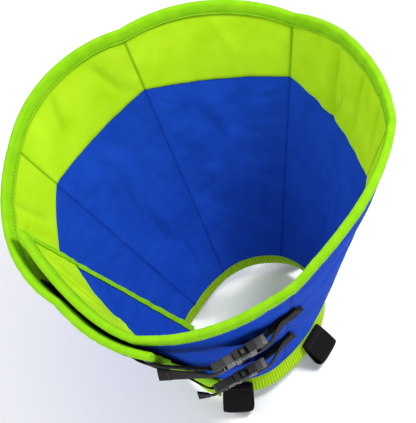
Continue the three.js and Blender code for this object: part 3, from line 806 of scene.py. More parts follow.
@dataclass(frozen=True)
class Puff:
    """Cloth simulation that lets quilted skins swell and pucker between the lines that hold them.

    growth is the share by which the cloth is larger than its pattern, and cap the furthest move.
    """

    frames: int = 8
    quality: int = 4
    levels: int = 10
    pressure: float = 4.0
    growth: float = 0.006
    cap: float = 2.0 * MM

    def settle(self, piece: bpy.types.Object) -> None:
        """Simulates a closed double skin and applies the result to its mesh, moves capped.

        Args:
            piece: The piece, with the attribute held at 1 where a vertex may not move.
        """
        mesh, scene = piece.data, bpy.context.scene
        count = len(mesh.vertices)
        before, after, held = np.empty(count * 3), np.empty(count * 3), np.empty(count)
        mesh.vertices.foreach_get("co", before)
        mesh.attributes["held"].data.foreach_get("value", held)
        group = piece.vertex_groups.new(name="held")
        for level in range(1, self.levels + 1):
            picked = np.nonzero(steps(held, self.levels) == level)[0]
            group.add(picked.tolist(), level / self.levels, "REPLACE")
        cloth = piece.modifiers.new("puff", "CLOTH")
        cloth.settings.vertex_group_mass = group.name
        cloth.settings.quality = self.quality
        cloth.settings.use_pressure = True
        cloth.settings.uniform_pressure_force = self.pressure
        cloth.settings.shrink_min = -self.growth
        cloth.settings.effector_weights.gravity = 0
        cloth.collision_settings.use_collision = False
        cloth.point_cache.frame_start, cloth.point_cache.frame_end = 1, self.frames
        for step in range(1, self.frames + 1):
            scene.frame_set(step)
        solved = piece.evaluated_get(bpy.context.evaluated_depsgraph_get()).data
        solved.vertices.foreach_get("co", after)
        piece.modifiers.remove(cloth)
        piece.vertex_groups.remove(group)
        mesh.attributes.remove(mesh.attributes["held"])
        scene.frame_set(1)
        move = (after - before).reshape(-1, 3)
        far = np.linalg.norm(move, axis=1, keepdims=True)
        move *= np.minimum(1, self.cap / np.maximum(far, 1e-9)) * (1 - held[:, None])
        mesh.vertices.foreach_set("co", before + move.ravel())
        mesh.update()
        log.info("%s: puffed by up to %.2f mm, %.2f mm on average", piece.name, far.max() / MM,
                 float(np.linalg.norm(move, axis=1).mean()) / MM)


class Held(NamedTuple):
    """A stretch of the outer skin that webbing covers: azimuths and share of the wall's length."""

    psi_from: float
    psi_to: float
    share: float


COVERED = (Held(220, 256, 0.86), Held(220, 256, 0.445), Held(-69, -44, 0.70), Held(-69, -44, 0.37))


@dataclass
class Shell:
    """Eight padded panels of blue cloth sewn at radial seams, with the lime facing inside the rim.

    The reaches are how far a seam's shade, a hold or a cover spreads. hem, thin and pinch shape the
    facing: the length over which its edge rises, its least thickness, and how far a seam draws it in.
    """

    columns: int = 48
    rows_below: int = 64
    rows_above: int = 36
    crowding: float = 0.6
    fill: float = 0.35
    hem: float = 3.0 * MM
    thin: float = 0.2 * MM
    pinch: float = 2.5 * MM
    seam_reach: float = 1.1 * MM
    seam_shade: float = 0.85
    edge_reach: float = 1.3 * MM
    edge_shade: float = 0.7
    fold_shade: float = 0.3
    hold_reach: float = 7 * MM
    tape_reach: float = 11.4 * MM
    cover_reach: float = 16 * MM
    cover_turn: float = 3.0

    def azimuths(self, u: Array) -> Array:
        """Azimuths of a pattern's columns, closer together at the seams."""
        shares = eased(self.columns, 0.4)[:-1]
        table = np.append(np.concatenate([a + (b - a) * shares for a, b in zip(SEAMS, SEAMS[1:])]), END)
        return table[steps(u, len(table) - 1)]

    def seam_lines_and_painted_shade(self, psi: Array, d: Array) -> Array:
        """Dark seam lines, with painted shade in their grooves, in the folds' valleys and beside the rim's
        tape, from 0 to 1.
        """
        seam = np.exp(-((WRAP.seam_distance(psi, d) / self.seam_reach) ** 2)) * self.seam_shade
        edge = np.exp(-(((WRAP.length(psi) - d - self.tape_reach) / self.edge_reach) ** 2)) * self.edge_shade
        folded = sum(WRAP.along_fold(fold, psi, d) ** 2 for fold in FOLDS if fold.depth_mm < 0)
        return np.clip(np.maximum.reduce([seam, edge, folded * self.fold_shade]), 0, 1)

    def held(self, psi: Array, d: Array, outer: Array) -> Array:
        """How firmly each place of the skins is sewn down or covered, from 0 to 1.

        Args:
            psi: Azimuths in degrees.
            d: Distances along the wall.
            outer: True on the outer skin.

        Returns:
            1 where nothing may move, 0 where the skin is free.
        """
        full, reach = WRAP.length(psi), self.hold_reach
        seam = 1.4 - WRAP.seam_distance(psi, d) / reach
        edge = 1.4 - np.minimum(d, full - d - self.tape_reach) / reach
        line = 1.4 - np.abs(d - WRAP.band(psi)) / reach
        faced = np.where(outer, 0, (d - WRAP.band(psi)) / reach + 1.2)
        hold = np.maximum.reduce([seam, edge, line, faced])
        for cover in COVERED:
            beside = np.maximum(cover.psi_from - psi, psi - cover.psi_to) / self.cover_turn
            above = np.abs(d - cover.share * full) / self.cover_reach
            covered = 2 - np.maximum(np.maximum(beside, 0) + 1, above)
            hold = np.where(outer, np.maximum(hold, covered), hold)
        return np.clip(hold, 0, 1)

    def panels(self) -> bpy.types.Object:
        """The closed blue shell, outer and inner skins with the padding between."""
        rows = self.rows_below + self.rows_above

        def lay(u: Array, v: Array, w: Array) -> tuple[Array, ...]:
            """Places the pattern on the wrap."""
            psi, k = self.azimuths(u), steps(v, rows)
            low, high = eased(self.rows_below, self.crowding), eased(self.rows_above, self.crowding)
            edge, full = WRAP.band(psi), WRAP.length(psi)
            below = low[np.clip(k, 0, self.rows_below)] * edge
            above = edge + high[np.clip(k - self.rows_below, 0, self.rows_above)] * (full - edge)
            d = np.where(k <= self.rows_below, below, above)
            h = np.where(w > 0.5, WRAP.skin(psi, d, Side.OUTER), WRAP.skin(psi, d, Side.INNER))
            return WRAP.place(psi, d, h), WRAP.cut(psi, d), self.seam_lines_and_painted_shade(psi, d), self.held(psi, d, w > 0.5)

        piece = laid("shell_panels", flat_pattern(PANELS * self.columns, rows, 2), lay)
        Puff().settle(piece)
        return piece

    def facing(self) -> bpy.types.Object:
        """The lime band inside the rim, seamed in line with the panels."""

        def lay(u: Array, v: Array, w: Array) -> tuple[Array, ...]:
            """Places the band against the inner skin."""
            psi = self.azimuths(u)
            edge, full = WRAP.band(psi), WRAP.length(psi)
            d = edge + eased(self.rows_above, self.crowding)[steps(v, self.rows_above)] * (full - edge)
            back = WRAP.skin(psi, d, Side.INNER) - 0.1 * MM
            body = np.clip((d - edge) / self.hem, 0, 1) ** 0.5
            pinch = np.clip(WRAP.seam_distance(psi, d) / self.pinch, 0, 1) ** 0.5
            thick = self.thin + (WRAP.facing_thick - self.thin) * body * (0.45 + 0.55 * pinch)
            points = WRAP.place(psi, d, back - np.where(w > 0.5, 0, thick))
            return points, WRAP.cut(psi, d), self.seam_lines_and_painted_shade(psi, d)

        return laid("rim_facing_cloth", flat_pattern(PANELS * self.columns, self.rows_above, 2), lay)

    def facing_cut(self) -> tuple[float, float, float]:
        """Length, width and area of the facing's flat cut, in metres."""
        psi = np.linspace(START, END, 400)
        wide = WRAP.length(psi) - WRAP.band(psi)
        middle = WRAP.radius(psi, WRAP.length(psi) - wide / 2)
        run = np.radians(psi[1] - psi[0]) * middle
        return float(run.sum()), float(wide.max()), float((run * wide).sum())


@dataclass
class Binding:
    """Lime bias tape folded over the rim and over both straight ends.

    fullness is the share of the outline's lift that is used, and end_share that of its reach at the
    ends. closing_rings are the shares of end_past at which the rim's tape narrows to its end.
    """

    rim_steps: int = 640
    end_steps: int = 150
    end_share: float = 0.55
    end_gap: float = 11.2 * MM
    fullness: float = 0.8
    rim_radius: float = 170 * MM
    flutter: float = 0.2 * MM
    flutter_from_mm: float = 8.0
    quilting: float = 0.18
    end_past: float = 2.2 * MM
    closing_rings: tuple[float, ...] = (0.3, 0.6, 0.85, 1.0)
    closed_share: float = 0.06

    def waving(self, run: Array, turn: Array, seed: float) -> Array:
        """Small waves of the tape's free edges, in metres."""
        free = np.clip(turn[:, 0] / self.flutter_from_mm, 0, 1)
        return self.flutter * ripple(run, turn[:, 1] * 3, seed) * free

    def heights(self, psi: Array, d: Array, turn: Array, scale: float) -> Array:
        """Heights of tape over the layers that it holds.

        Args:
            psi: Azimuths in degrees.
            d: Distances along the wall.
            turn: Rows of reach, side and lift, in millimetres.
            scale: Share of the lift that is used.

        Returns:
            Heights outwards, in metres.
        """
        out = WRAP.skin(psi, d, Side.OUTER) + WRAP.gap
        inside = WRAP.stack(psi, d) - WRAP.gap
        share = (turn[:, 1] + 1) / 2
        lift = turn[:, 2] * MM * scale
        return out * share + inside * (1 - share) + lift * turn[:, 1]

    def rim(self) -> bpy.types.Object:
        """Tape over the rim, from end to end."""
        outline = np.array(TAPE_OUTLINE)
        past = math.degrees(self.end_past / self.rim_radius)
        beyond = past * np.array(self.closing_rings)
        whole = np.linspace(START, END, self.rim_steps + 1 - 2 * len(beyond))
        stops = np.concatenate([START - beyond[::-1], whole, END + beyond])

        def lay(u: Array, v: Array, w: Array) -> tuple[Array, Array]:
            """Rolls the tape over the rim and turns it in at both ends."""
            turn = outline[steps(v, len(outline) - 1)]
            psi = stops[steps(u, self.rim_steps)]
            inner = np.clip(psi, START, END)
            closing = (1 - np.clip(np.abs(psi - inner) / past, 0, 1) ** 2.5) ** 0.5
            full = WRAP.length(inner)
            arc = np.radians(psi) * self.rim_radius
            quilt = self.quilting * ripple(arc * 140, turn[:, 0] * 0.35 + turn[:, 1] * 2, 4.0)
            d = full - turn[:, 0] * MM + self.waving(arc * 90, turn, 2.0)
            h = self.heights(inner, np.minimum(d, full), turn, self.fullness)
            h = h + np.where(turn[:, 1] >= 0, 1, -1) * quilt * turn[:, 2] * MM
            middle = self.heights(inner, np.minimum(d, full), turn * (1, 0, 0), 0.0)
            h = middle + (h - middle) * (self.closed_share + (1 - self.closed_share) * closing)
            return WRAP.place(psi, d, h), np.stack([arc, -turn[:, 0] * turn[:, 1] * MM], axis=-1)

        return closed_up(laid("rim_tape", flat_pattern(self.rim_steps, len(outline) - 1), lay))

    def end(self, name: str, edge: float, inward: int) -> bpy.types.Object:
        """Tape over one straight end.

        Args:
            name: Name of the piece.
            edge: Azimuth of the end.
            inward: 1 where the wall lies at larger azimuths, -1 where at smaller.

        Returns:
            The piece.
        """
        outline = np.array(TAPE_OUTLINE)
        outline = outline if inward < 0 else outline[::-1]

        def lay(u: Array, v: Array, w: Array) -> tuple[Array, Array]:
            """Rolls the tape over the end, from the neck edge to the rim's tape."""
            turn = outline[steps(v, len(outline) - 1)]
            d = u * (WRAP.length(np.array([edge]))[0] - self.end_gap)
            reach = turn[:, 0] * self.end_share * MM + self.waving(d * 120, turn, 6.0)
            psi = edge + inward * np.degrees(reach / WRAP.radius(np.full_like(d, edge), d))
            h = self.heights(np.clip(psi, START, END), d, turn, self.fullness)
            return WRAP.place(psi, d, h), np.stack([d, turn[:, 0] * turn[:, 1] * MM], axis=-1)

        return closed_up(laid(name, flat_pattern(self.end_steps, len(outline) - 1), lay))


@dataclass
class Cuff:
    """Doubled lime rib knit on the neck edge, leaning outwards, with ribs across its width."""

    width: float = 18 * MM
    thick: float = 4.2 * MM
    lean: float = 34.0
    rib: float = 2.8 * MM
    rib_depth: float = 0.35 * MM
    sag: float = 0.5 * MM
    steps_per_rib: int = 6
    tuck: float = 1.2 * MM
    rows: int = 22
    fill: float = 0.3

    def leaning(self, lean: float, reach: Array, off: Array) -> tuple[Array, Array]:
        """Distance and height of a point that hangs from the neck edge and leans outwards."""
        a = math.radians(lean)
        return -reach * math.cos(a) + off * math.sin(a), reach * math.sin(a) + off * math.cos(a)

    def knit(self) -> bpy.types.Object:
        """The cuff's closed ring of ribs."""
        turns = math.radians(END - START) * WRAP.neck_radius
        ribs = round(turns / self.rib)

        def lay(u: Array, v: Array, w: Array) -> tuple[Array, Array]:
            """Rolls the knit round its own fold."""
            psi = START + u * (END - START)
            angle = 2 * math.pi * v
            centre, half_run = (self.width - self.tuck) / 2, (self.width + self.tuck) / 2
            furrow = self.rib_depth * (np.cos(2 * math.pi * u * ribs) * 0.5 - 0.5)
            bulge = np.abs(np.sin(angle)) ** 0.55 * np.sign(np.sin(angle))
            reach = centre - half_run * np.cos(angle)
            sag = self.sag * ripple(np.radians(psi) * 2.2, reach * 50, 8.0)
            off = bulge * (self.thick / 2 * (0.82 + 0.18 * np.sin(angle) ** 2) + furrow) + sag
            d, h = self.leaning(self.lean, reach - np.cos(angle) * furrow, off)
            return WRAP.place(psi, d, h), np.stack([u * ribs * self.rib, reach], axis=-1)

        grid = flat_pattern(ribs * self.steps_per_rib, self.rows)
        return closed_up(laid("neck_cuff_knit", grid, lay))


class Station(NamedTuple):
    """A place on a strap's route, with the directions across it and out of its face."""

    at: Vector
    across: Vector
    up: Vector


@dataclass(frozen=True)
class Route:
    """A smooth line along a tape, with the directions across it and out of its face."""

    at: Array
    across: Array
    up: Array

    @property
    def run(self) -> Array:
        """Length of the line up to each of its points."""
        return lengths(self.at)

    def spots(self, run: Array, aside: Array, lift: float) -> Row:
        """Points beside the line, off its face.

        Args:
            run: Lengths along the line.
            aside: Distances across it.
            lift: Height over the middle of the tape, negative for its other face.

        Returns:
            The points, and the directions out of the face there.
        """
        known = self.run
        at, across, up = (sampled(run, known, rows) for rows in (self.at, self.across, self.up))
        return at + across * aside[:, None] + up * lift, up * math.copysign(1, lift)

    def box(self, begin: float, end: float, half: float, lift: float) -> list[Row]:
        """Lines of a sewn box with its cross, between two lengths along the line."""
        corners = [(begin, -half), (end, -half), (end, half), (begin, half), (begin, -half), (end, half)]
        pairs = [*zip(corners, corners[1:]), ((begin, half), (end, -half))]
        return [
            self.spots(np.linspace(a[0], b[0], 24), np.linspace(a[1], b[1], 24), lift) for a, b in pairs
        ]


class Ridge(NamedTuple):
    """A moulded ridge on a buckle half: its middle, and its sizes along x, y and z, in millimetres."""

    x: float
    y: float
    z: float
    along: float
    across: float
    high: float


RIDGES = {
    "plug": (
        Ridge(-17.0, 0.0, 3.9, 1.3, 22.0, 1.1),
        Ridge(-13.6, 0.0, 3.9, 1.3, 22.0, 1.1),
        Ridge(-10.2, 0.0, 3.9, 1.3, 22.0, 1.1),
    ),
    "socket": (
        Ridge(-3.2, 0.0, 4.55, 1.6, 25.0, 1.1),
        Ridge(2.5, 7.2, 4.55, 8.0, 1.2, 1.1),
        Ridge(2.5, -7.2, 4.55, 8.0, 1.2, 1.1),
        Ridge(8.2, 0.0, 4.55, 1.4, 17.0, 1.1),
        Ridge(12.2, 0.0, 4.55, 1.2, 20.0, 1.0),
    ),
}


@dataclass(frozen=True)
class StrapPlan:
    """Name, places and turns of one buckled strap.

    flap, level and seam are the shares of the wall's length at which the strap, the buckle and the
    anchor lie, and mid is the azimuth of the buckle. slope, roll and yaw turn it, in degrees. tail is
    the free end's length, curl how far it bends in, and twist its turn about its own line at the tip.
    """

    name: str
    flap: float
    level: float
    seam: float
    mid: float
    slope: float
    roll: float
    yaw: float
    tail: float
    curl: float
    twist: float


@dataclass(frozen=True)
class Straps:
    """The two straps at the throat, each with its anchor and its side-release buckle."""

    width: float = 25 * MM
    thick: float = 1.6 * MM
    length: float = 52 * MM
    bar_depth: float = 6 * MM
    bar_thick: float = 4 * MM
    lift: float = 13 * MM
    start: float = 226.0
    seam: float = -54.0
    past: float = 4.0
    leaves: float = 5.0
    tape: float = 1.8 * MM
    tape_reach: float = 8.0
    hem: float = 11 * MM
    around: int = 28
    rounding: float = 0.4 * MM
    ridge_rounding: float = 0.3 * MM
    broad_face: float = 2.5 * MM * MM
    tail_stops: tuple[float, ...] = (0.35, 0.7, 1.0)
    stand_off: float = 3 * MM
    stitch_lift: float = 0.12 * MM
    stitch_margin: float = 3.5 * MM
    box_margin: float = 3 * MM
    strap_box: float = 18 * MM
    anchor_box: float = 15 * MM
    hem_seam: float = 2.5 * MM
    plans: tuple[StrapPlan, ...] = (
        StrapPlan("upper", 0.86, 0.744, 0.70, -77.8, -16.6, 6.1, 13.7, 46 * MM, 0.52, -20.0),
        StrapPlan("lower", 0.445, 0.394, 0.37, -82.4, -11.0, 9.2, 15.9, 14 * MM, 0.45, -12.0),
    )

    @property
    def bend(self) -> float:
        """Distance from the middle of a bar to the middle of the webbing folded round it."""
        return self.bar_thick / 2 + WRAP.gap + self.thick / 2 + 0.1 * MM

    def buckle_frame(self, plan: StrapPlan) -> Matrix:
        """Frame of a buckle: x from plug to socket, y up the wall, z outwards."""
        flare = math.sin(math.radians(WRAP.flare))
        reach = math.degrees(self.length * 0.4 / (WRAP.neck_radius + plan.level * WRAP.slant * flare))
        psi = np.array([plan.mid - reach, plan.mid, plan.mid + reach])
        d = plan.level * WRAP.length(psi)
        before, at, after = (Vector(p) for p in WRAP.place(psi, d, WRAP.half(psi, d) + self.lift))
        x = (after - before).normalized()
        up = WRAP.up(plan.mid)
        y = (up - x * up.dot(x)).normalized()
        turn = Matrix.Identity(4)
        for angle, axis in ((plan.slope, "Z"), (plan.roll, "X"), (plan.yaw, "Y")):
            turn = turn @ Matrix.Rotation(math.radians(angle), 4, axis)
        return Matrix.Translation(at) @ Matrix((x, y, x.cross(y))).transposed().to_4x4() @ turn

    def fold(self, box: Matrix, side: int) -> list[Vector]:
        """Points of webbing folded round the bar at one end of a buckle."""
        x, bend = side * (self.length / 2 - self.bar_depth + 0.6 * MM), self.bend
        angles = [-math.pi / 2 + math.pi * k / 6 for k in range(7)]
        return [box @ Vector((x - side * bend * math.cos(w), 0, bend * math.sin(w))) for w in angles]

    def clear_of_wall(self, station: Station, psi: float, more: float) -> Station:
        """Lifts a station until its whole width lies clear of the outer skin.

        Args:
            station: The station.
            psi: Azimuth that it is near.
            more: Height of what lies between it and the skin.

        Returns:
            The lifted station.
        """
        out, at = WRAP.out(psi), station.at.copy()
        side = math.copysign(1, station.up.dot(out))
        for _ in range(3):
            lows = []
            for share in (-0.5, -0.25, 0, 0.25, 0.5):
                p = at + station.across * (share * self.width) - station.up * (side * self.thick / 2)
                raw = math.degrees(math.atan2(p.y, p.x))
                near = np.array([raw + 360 * round((psi - raw) / 360)])
                lean = np.radians(WRAP.flare * WRAP.column("flare", near))
                reach = math.hypot(p.x, p.y) - WRAP.neck_radius * WRAP.column("neck", near)
                d = reach * np.sin(lean) + p.z * np.cos(lean)
                height = reach * np.cos(lean) - p.z * np.sin(lean) - WRAP.skin(near, d, Side.OUTER)
                lows.append(float(height[0]))
            at = at + out * max(0.0, WRAP.gap + more - min(lows))
        return Station(at, station.across, station.up)

    def along(self, points: Sequence[Vector], acrosses: Sequence[Vector]) -> list[Station]:
        """Stations with square-on directions worked out from the route."""
        made = []
        for i, at in enumerate(points):
            line = (points[min(i + 1, len(points) - 1)] - points[max(i - 1, 0)]).normalized()
            across = (acrosses[i] - line * acrosses[i].dot(line)).normalized()
            made.append(Station(at, across, line.cross(across).normalized()))
        return made

    def smooth(self, stations: Sequence[Station]) -> Route:
        """A smooth line through the stations."""
        rows = np.array([[*s.at, *s.across] for s in stations])
        fine = []
        for i in range(len(rows) - 1):
            p0, p1, p2, p3 = (rows[min(max(i + k, 0), len(rows) - 1)] for k in (-1, 0, 1, 2))
            for t in np.arange(0, 1, 0.125):
                fine.append(0.5 * ((2 * p1) + (p2 - p0) * t + (2 * p0 - 5 * p1 + 4 * p2 - p3) * t * t
                                   + (3 * p1 - p0 - 3 * p2 + p3) * t**3))
        fine = np.array([*fine, rows[-1]])
        at, across = fine[:, :3], fine[:, 3:]
        line = np.gradient(at, axis=0)
        line /= np.linalg.norm(line, axis=1, keepdims=True)
        across = across - line * (across * line).sum(1, keepdims=True)
        across /= np.linalg.norm(across, axis=1, keepdims=True)
        return Route(at, across, np.cross(line, across))

    def webbing(self, name: str, route: Route, hem: float = 0.0) -> bpy.types.Object:
        """Flat webbing with rounded edges along a route.

        Args:
            name: Name of the piece.
            route: The route.
            hem: Length of the doubled end, or 0 for none.

        Returns:
            The piece.
        """
        run = route.run

        def lay(u: Array, v: Array, w: Array) -> tuple[Array, Array]:
            """Wraps the section round the route."""
            i = steps(u, len(run) - 1)
            y, z = tape_section(v, self.width, self.thick)
            doubled = np.clip((run[i] - run[-1] + hem) / (1.5 * MM), 0, 1) if hem else 0 * u
            z = z * (1 + 0.85 * doubled)
            frayed = 0.15 * MM * ripple(run[i] * 700, np.sign(y), 12.0) * (np.abs(y) > self.width * 0.4)
            point = route.at[i] + route.across[i] * (y + frayed)[:, None] + route.up[i] * z[:, None]
            return point, np.stack([run[i], y], axis=-1)

        return closed_up(laid(name, flat_pattern(len(run) - 1, self.around), lay))

    def strap(self, plan: StrapPlan) -> Route:
        """Webbing from the outer flap, over its bound end, round the plug's bar to the free tail."""
        box = self.buckle_frame(plan)
        across, out, turn = box.to_3x3().col[1], box.to_3x3().col[2], self.bend
        psi = np.linspace(self.start + 3, END, 7)
        over = np.where(psi > END - self.tape_reach, self.tape, 0)
        d = plan.flap * WRAP.length(psi)
        base = WRAP.skin(psi, d, Side.OUTER) + WRAP.gap + over + self.thick / 2
        points = [Vector(p) for p in WRAP.place(psi, d, base)]
        acrosses = [WRAP.up(a) for a in psi]
        half = self.length / 2
        points += [box @ Vector((-half - self.stand_off - 0.5 * MM, 0, -turn - 0.6 * MM)),
                   *self.fold(box, -1), box @ Vector((-half - self.stand_off, 0, turn))]
        acrosses += [across] * (len(points) - len(psi))
        for share in self.tail_stops:
            reach, twist = plan.tail * share, math.radians(plan.twist) * share
            straight = math.sqrt(1 - plan.curl**2) * reach
            points.append(box @ Vector((-half - self.stand_off - straight, 0, turn - reach * plan.curl)))
            acrosses.append(across * math.cos(twist) + out * math.sin(twist))
        stations = self.along(points, acrosses)
        for i, a in enumerate(psi):
            stations[i] = self.clear_of_wall(stations[i], a, over[i])
        return self.smooth(stations)

    def anchor(self, plan: StrapPlan) -> Route:
        """Doubled webbing round the socket's bar, sewn down past the front seam."""
        box = self.buckle_frame(plan)
        across, turn = box.to_3x3().col[1], self.bend
        psi = np.array([self.seam + self.past, self.seam, self.seam - self.leaves])
        d = plan.seam * WRAP.length(psi)
        low = WRAP.skin(psi, d, Side.OUTER) + WRAP.gap + self.thick / 2
        under = [Vector(p) for p in WRAP.place(psi, d, low)]
        over = [Vector(p) for p in WRAP.place(psi, d, low + self.thick + WRAP.gap)][::-1]
        half = self.length / 2
        clear = half + self.stand_off
        round_bar = [box @ Vector((clear, 0, -turn)), *self.fold(box, 1), box @ Vector((clear, 0, turn))]
        route = [*under, *round_bar, *over]
        ups = [WRAP.up(a) for a in psi]
        sides = [*ups, *([across] * len(round_bar)), *ups[::-1]]
        stations = self.along(route, sides)
        for i, a in enumerate(psi):
            stations[i] = self.clear_of_wall(stations[i], a, 0.0)
            stations[-1 - i] = self.clear_of_wall(stations[-1 - i], a, self.thick + WRAP.gap)
        return self.smooth(stations)

    def ridges(self, bm: bmesh.types.BMesh, box: Matrix, bars: Sequence[Ridge]) -> None:
        """Adds moulded ridges to a buckle half, sunk a little into its face.

        Args:
            bm: The half.
            box: The buckle's frame.
            bars: The ridges.
        """
        for bar in bars:
            place = box @ Matrix.Translation(Vector((bar.x, bar.y, bar.z)) * MM)
            size = Matrix.Diagonal((bar.along * MM, bar.across * MM, bar.high * MM, 1))
            block = bmesh.ops.create_cube(bm, size=1.0, matrix=place @ size)
            edges = list({e for v in block["verts"] for e in v.link_edges})
            bmesh.ops.bevel(bm, geom=edges, offset=self.ridge_rounding, offset_type="OFFSET",
                            affect="EDGES", segments=2, profile=0.5, material=-1)

    def buckle_half(self, node: str, name: str, box: Matrix, bars: Sequence[Ridge]) -> bpy.types.Object:
        """A moulded buckle half with rounded edges and ridges, from its CAD solid.

        Args:
            node: The CAD node.
            name: Name of the piece.
            box: The buckle's frame.
            bars: The ridges on its faces.

        Returns:
            The piece.
        """
        bm = bmesh.new()
        bm.from_mesh(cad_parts[node].data)
        bmesh.ops.remove_doubles(bm, verts=bm.verts, dist=0.01 * MM)
        bmesh.ops.dissolve_limit(bm, angle_limit=math.radians(1), verts=bm.verts, edges=bm.edges)
        sharp = [e for e in bm.edges if len(e.link_faces) == 2 and e.calc_face_angle() > math.radians(25)]
        bmesh.ops.bevel(bm, geom=sharp, offset=self.rounding, offset_type="OFFSET", affect="EDGES",
                        segments=2, profile=0.5, material=-1, clamp_overlap=True)
        self.ridges(bm, box, bars)
        rounded = [face.calc_area() < self.broad_face for face in bm.faces]
        mesh = bpy.data.meshes.new(name)
        bm.to_mesh(mesh)
        bm.free()
        piece = shown(name, mesh)
        mesh.polygons.foreach_set("use_smooth", rounded)
        return piece

    def build(self) -> list[Row]:
        """Builds and dresses both straps.

        Returns:
            Lines of the stitches on them, each with the directions out of the webbing.
        """
        lines = []
        for plan in self.plans:
            box, strap, anchor = self.buckle_frame(plan), self.strap(plan), self.anchor(plan)
            for end, route, hem in (("strap", strap, self.hem), ("anchor", anchor, 0)):
                node = f"{plan.name}_{end}"
                dressed(self.webbing(f"{node}_webbing", route, hem), BLACK_WEBBING, [node])
            for half, bars in RIDGES.items():
                node = f"{plan.name}_buckle_{half}"
                piece = self.buckle_half(node, f"{node}_moulding", box, bars)
                dressed(piece, BLACK_ACETAL, [node])
            face, half_box = self.thick / 2 + self.stitch_lift, self.width / 2 - self.stitch_margin
            sewn_end = anchor.run[-1]
            lines += strap.box(self.box_margin, self.strap_box, half_box, face)
            lines += anchor.box(sewn_end - self.anchor_box, sewn_end - self.box_margin, half_box, face)
            across = np.linspace(-half_box - 1 * MM, half_box + 1 * MM, 24)
            hem_line = np.full_like(across, strap.run[-1] - self.hem + self.hem_seam)
            lines += [strap.spots(hem_line, across, lift) for lift in (face * 1.75, -face * 1.75)]
        return lines


@dataclass
class CollarLoops:
    """Folded webbing loops at the neck, which a collar runs through."""

    width: float = 28 * MM
    length: float = 33 * MM
    lean: float = 50.0
    bend: float = 4.6 * MM
    thick: float = 1.5 * MM
    droop: float = 1.6 * MM
    around: int = 24
    middles: tuple[float, ...] = (-93.5, -19.0, 72.0, 158.0)

    def outline(self, cuff: Cuff) -> Array:
        """The loop's line from the neck seam, round its open end and back, as reach and offset."""
        closed = self.thick / 2 + WRAP.gap / 2
        begin = cuff.thick * 0.45
        far = self.length - self.bend - self.thick / 2
        ends = [(begin, -closed), (begin + (far - begin) * 0.25, -self.bend * 0.5),
                (begin + (far - begin) * 0.5, -self.bend * 0.78), (far, -self.bend)]
        turn = [(far + self.bend * math.cos(w), self.bend * math.sin(w))
                for w in np.linspace(-math.pi / 2, math.pi / 2, 9)[1:-1]]
        back = [(x, -y) for x, y in reversed(ends)]
        return np.array([*ends, *turn, *back])

    def spot(self, psi: float, cuff: Cuff, x: Array, off: Array, y: Array) -> Array:
        """Points on a loop at reaches from the seam, offsets from its mid plane and places across it."""
        seat = cuff.thick * 0.42 + WRAP.gap + self.thick / 2
        d0, h0 = cuff.leaning(cuff.lean, 0.0, seat + self.thick / 2 + WRAP.gap / 2)
        d, h = cuff.leaning(self.lean, x, off)
        span = math.degrees(self.width / WRAP.radius(np.array([psi]), np.zeros(1))[0])
        ends = WRAP.place(np.array([psi - span / 2, psi + span / 2]), np.zeros(2), np.zeros(2))
        across = (ends[1] - ends[0]) / np.linalg.norm(ends[1] - ends[0])
        return WRAP.place(np.full_like(d, psi), d + d0, h + h0) + np.asarray(y)[..., None] * across

    def seam(self, psi: float, cuff: Cuff) -> Row:
        """Line of stitches that closes a loop near its root, on the outer face."""
        y = np.linspace(-self.width / 2 + 2 * MM, self.width / 2 - 2 * MM, 24)
        root, face = np.full_like(y, 7 * MM), self.thick / 2 + 2.0 * MM
        on, above = (self.spot(psi, cuff, root, np.full_like(y, face + lift), y) for lift in (0.1 * MM, MM))
        return on, above - on

    def loop(self, name: str, psi: float, cuff: Cuff) -> bpy.types.Object:
        """One loop of webbing.

        Args:
            name: Name of the piece.
            psi: Azimuth of its middle.
            cuff: The cuff that it lies on.

        Returns:
            The piece.
        """
        line = self.outline(cuff)
        reach, off, run = line[:, 0], line[:, 1], lengths(line)
        nx, ny = -np.gradient(off, run), np.gradient(reach, run)

        def lay(u: Array, v: Array, w: Array) -> tuple[Array, Array]:
            """Folds the tape and lets its corners droop a little."""
            i = steps(u, len(run) - 1)
            y, z = tape_section(v, self.width, self.thick)
            x, o = reach[i] + nx[i] * z, off[i] + ny[i] * z
            far_end = np.clip((x - self.length * 0.7) / (self.length * 0.3), 0, 1)
            corner = (np.abs(y) / (self.width / 2)) ** 3 * far_end
            points = self.spot(psi, cuff, x - corner * self.droop, o, y)
            return points, np.stack([run[i], y], axis=-1)

        return closed_up(laid(name, flat_pattern(len(run) - 1, self.around), lay))

    def build(self, cuff: Cuff) -> list[Row]:
        """Builds and dresses the loops.

        Args:
            cuff: The cuff that they lie on.

        Returns:
            Lines of the stitches on them, each with the directions out of the webbing.
        """
        for k, psi in enumerate(self.middles, start=1):
            piece = self.loop(f"collar_loop_{k}_webbing", psi, cuff)
            dressed(piece, BLACK_WEBBING, [f"collar_loop_{k}"])
        return [self.seam(psi, cuff) for psi in self.middles]


@dataclass
class HookStrip:
    """Black hook-and-loop strip on the outer flap, in the gap between the flaps."""

    start: float = 206.0
    end: float = 249.0
    width: float = 22 * MM
    thick: float = 2.2 * MM
    nap: float = 0.25 * MM
    rim_gap: float = 11.3 * MM
    mean_radius: float = 150 * MM
    cells: tuple[int, int] = (220, 26)

    def tape(self) -> bpy.types.Object:
        """The strip below the rim's tape."""

        def lay(u: Array, v: Array, w: Array) -> tuple[Array, Array]:
            """Lays the strip on the facing."""
            psi = self.start + u * (self.end - self.start)
            d = WRAP.length(psi) - self.rim_gap - (1 - v) * self.width
            face = WRAP.stack(psi, d) - WRAP.gap
            nap = self.nap * ripple(psi * 9, d * 900, 1.0)
            h = np.where(w > 0.5, face, face - self.thick * 0.9 + nap)
            return WRAP.place(psi, d, h), np.stack([np.radians(psi) * self.mean_radius, d], axis=-1)

        return laid("hook_loop_tape", flat_pattern(*self.cells, 2), lay)


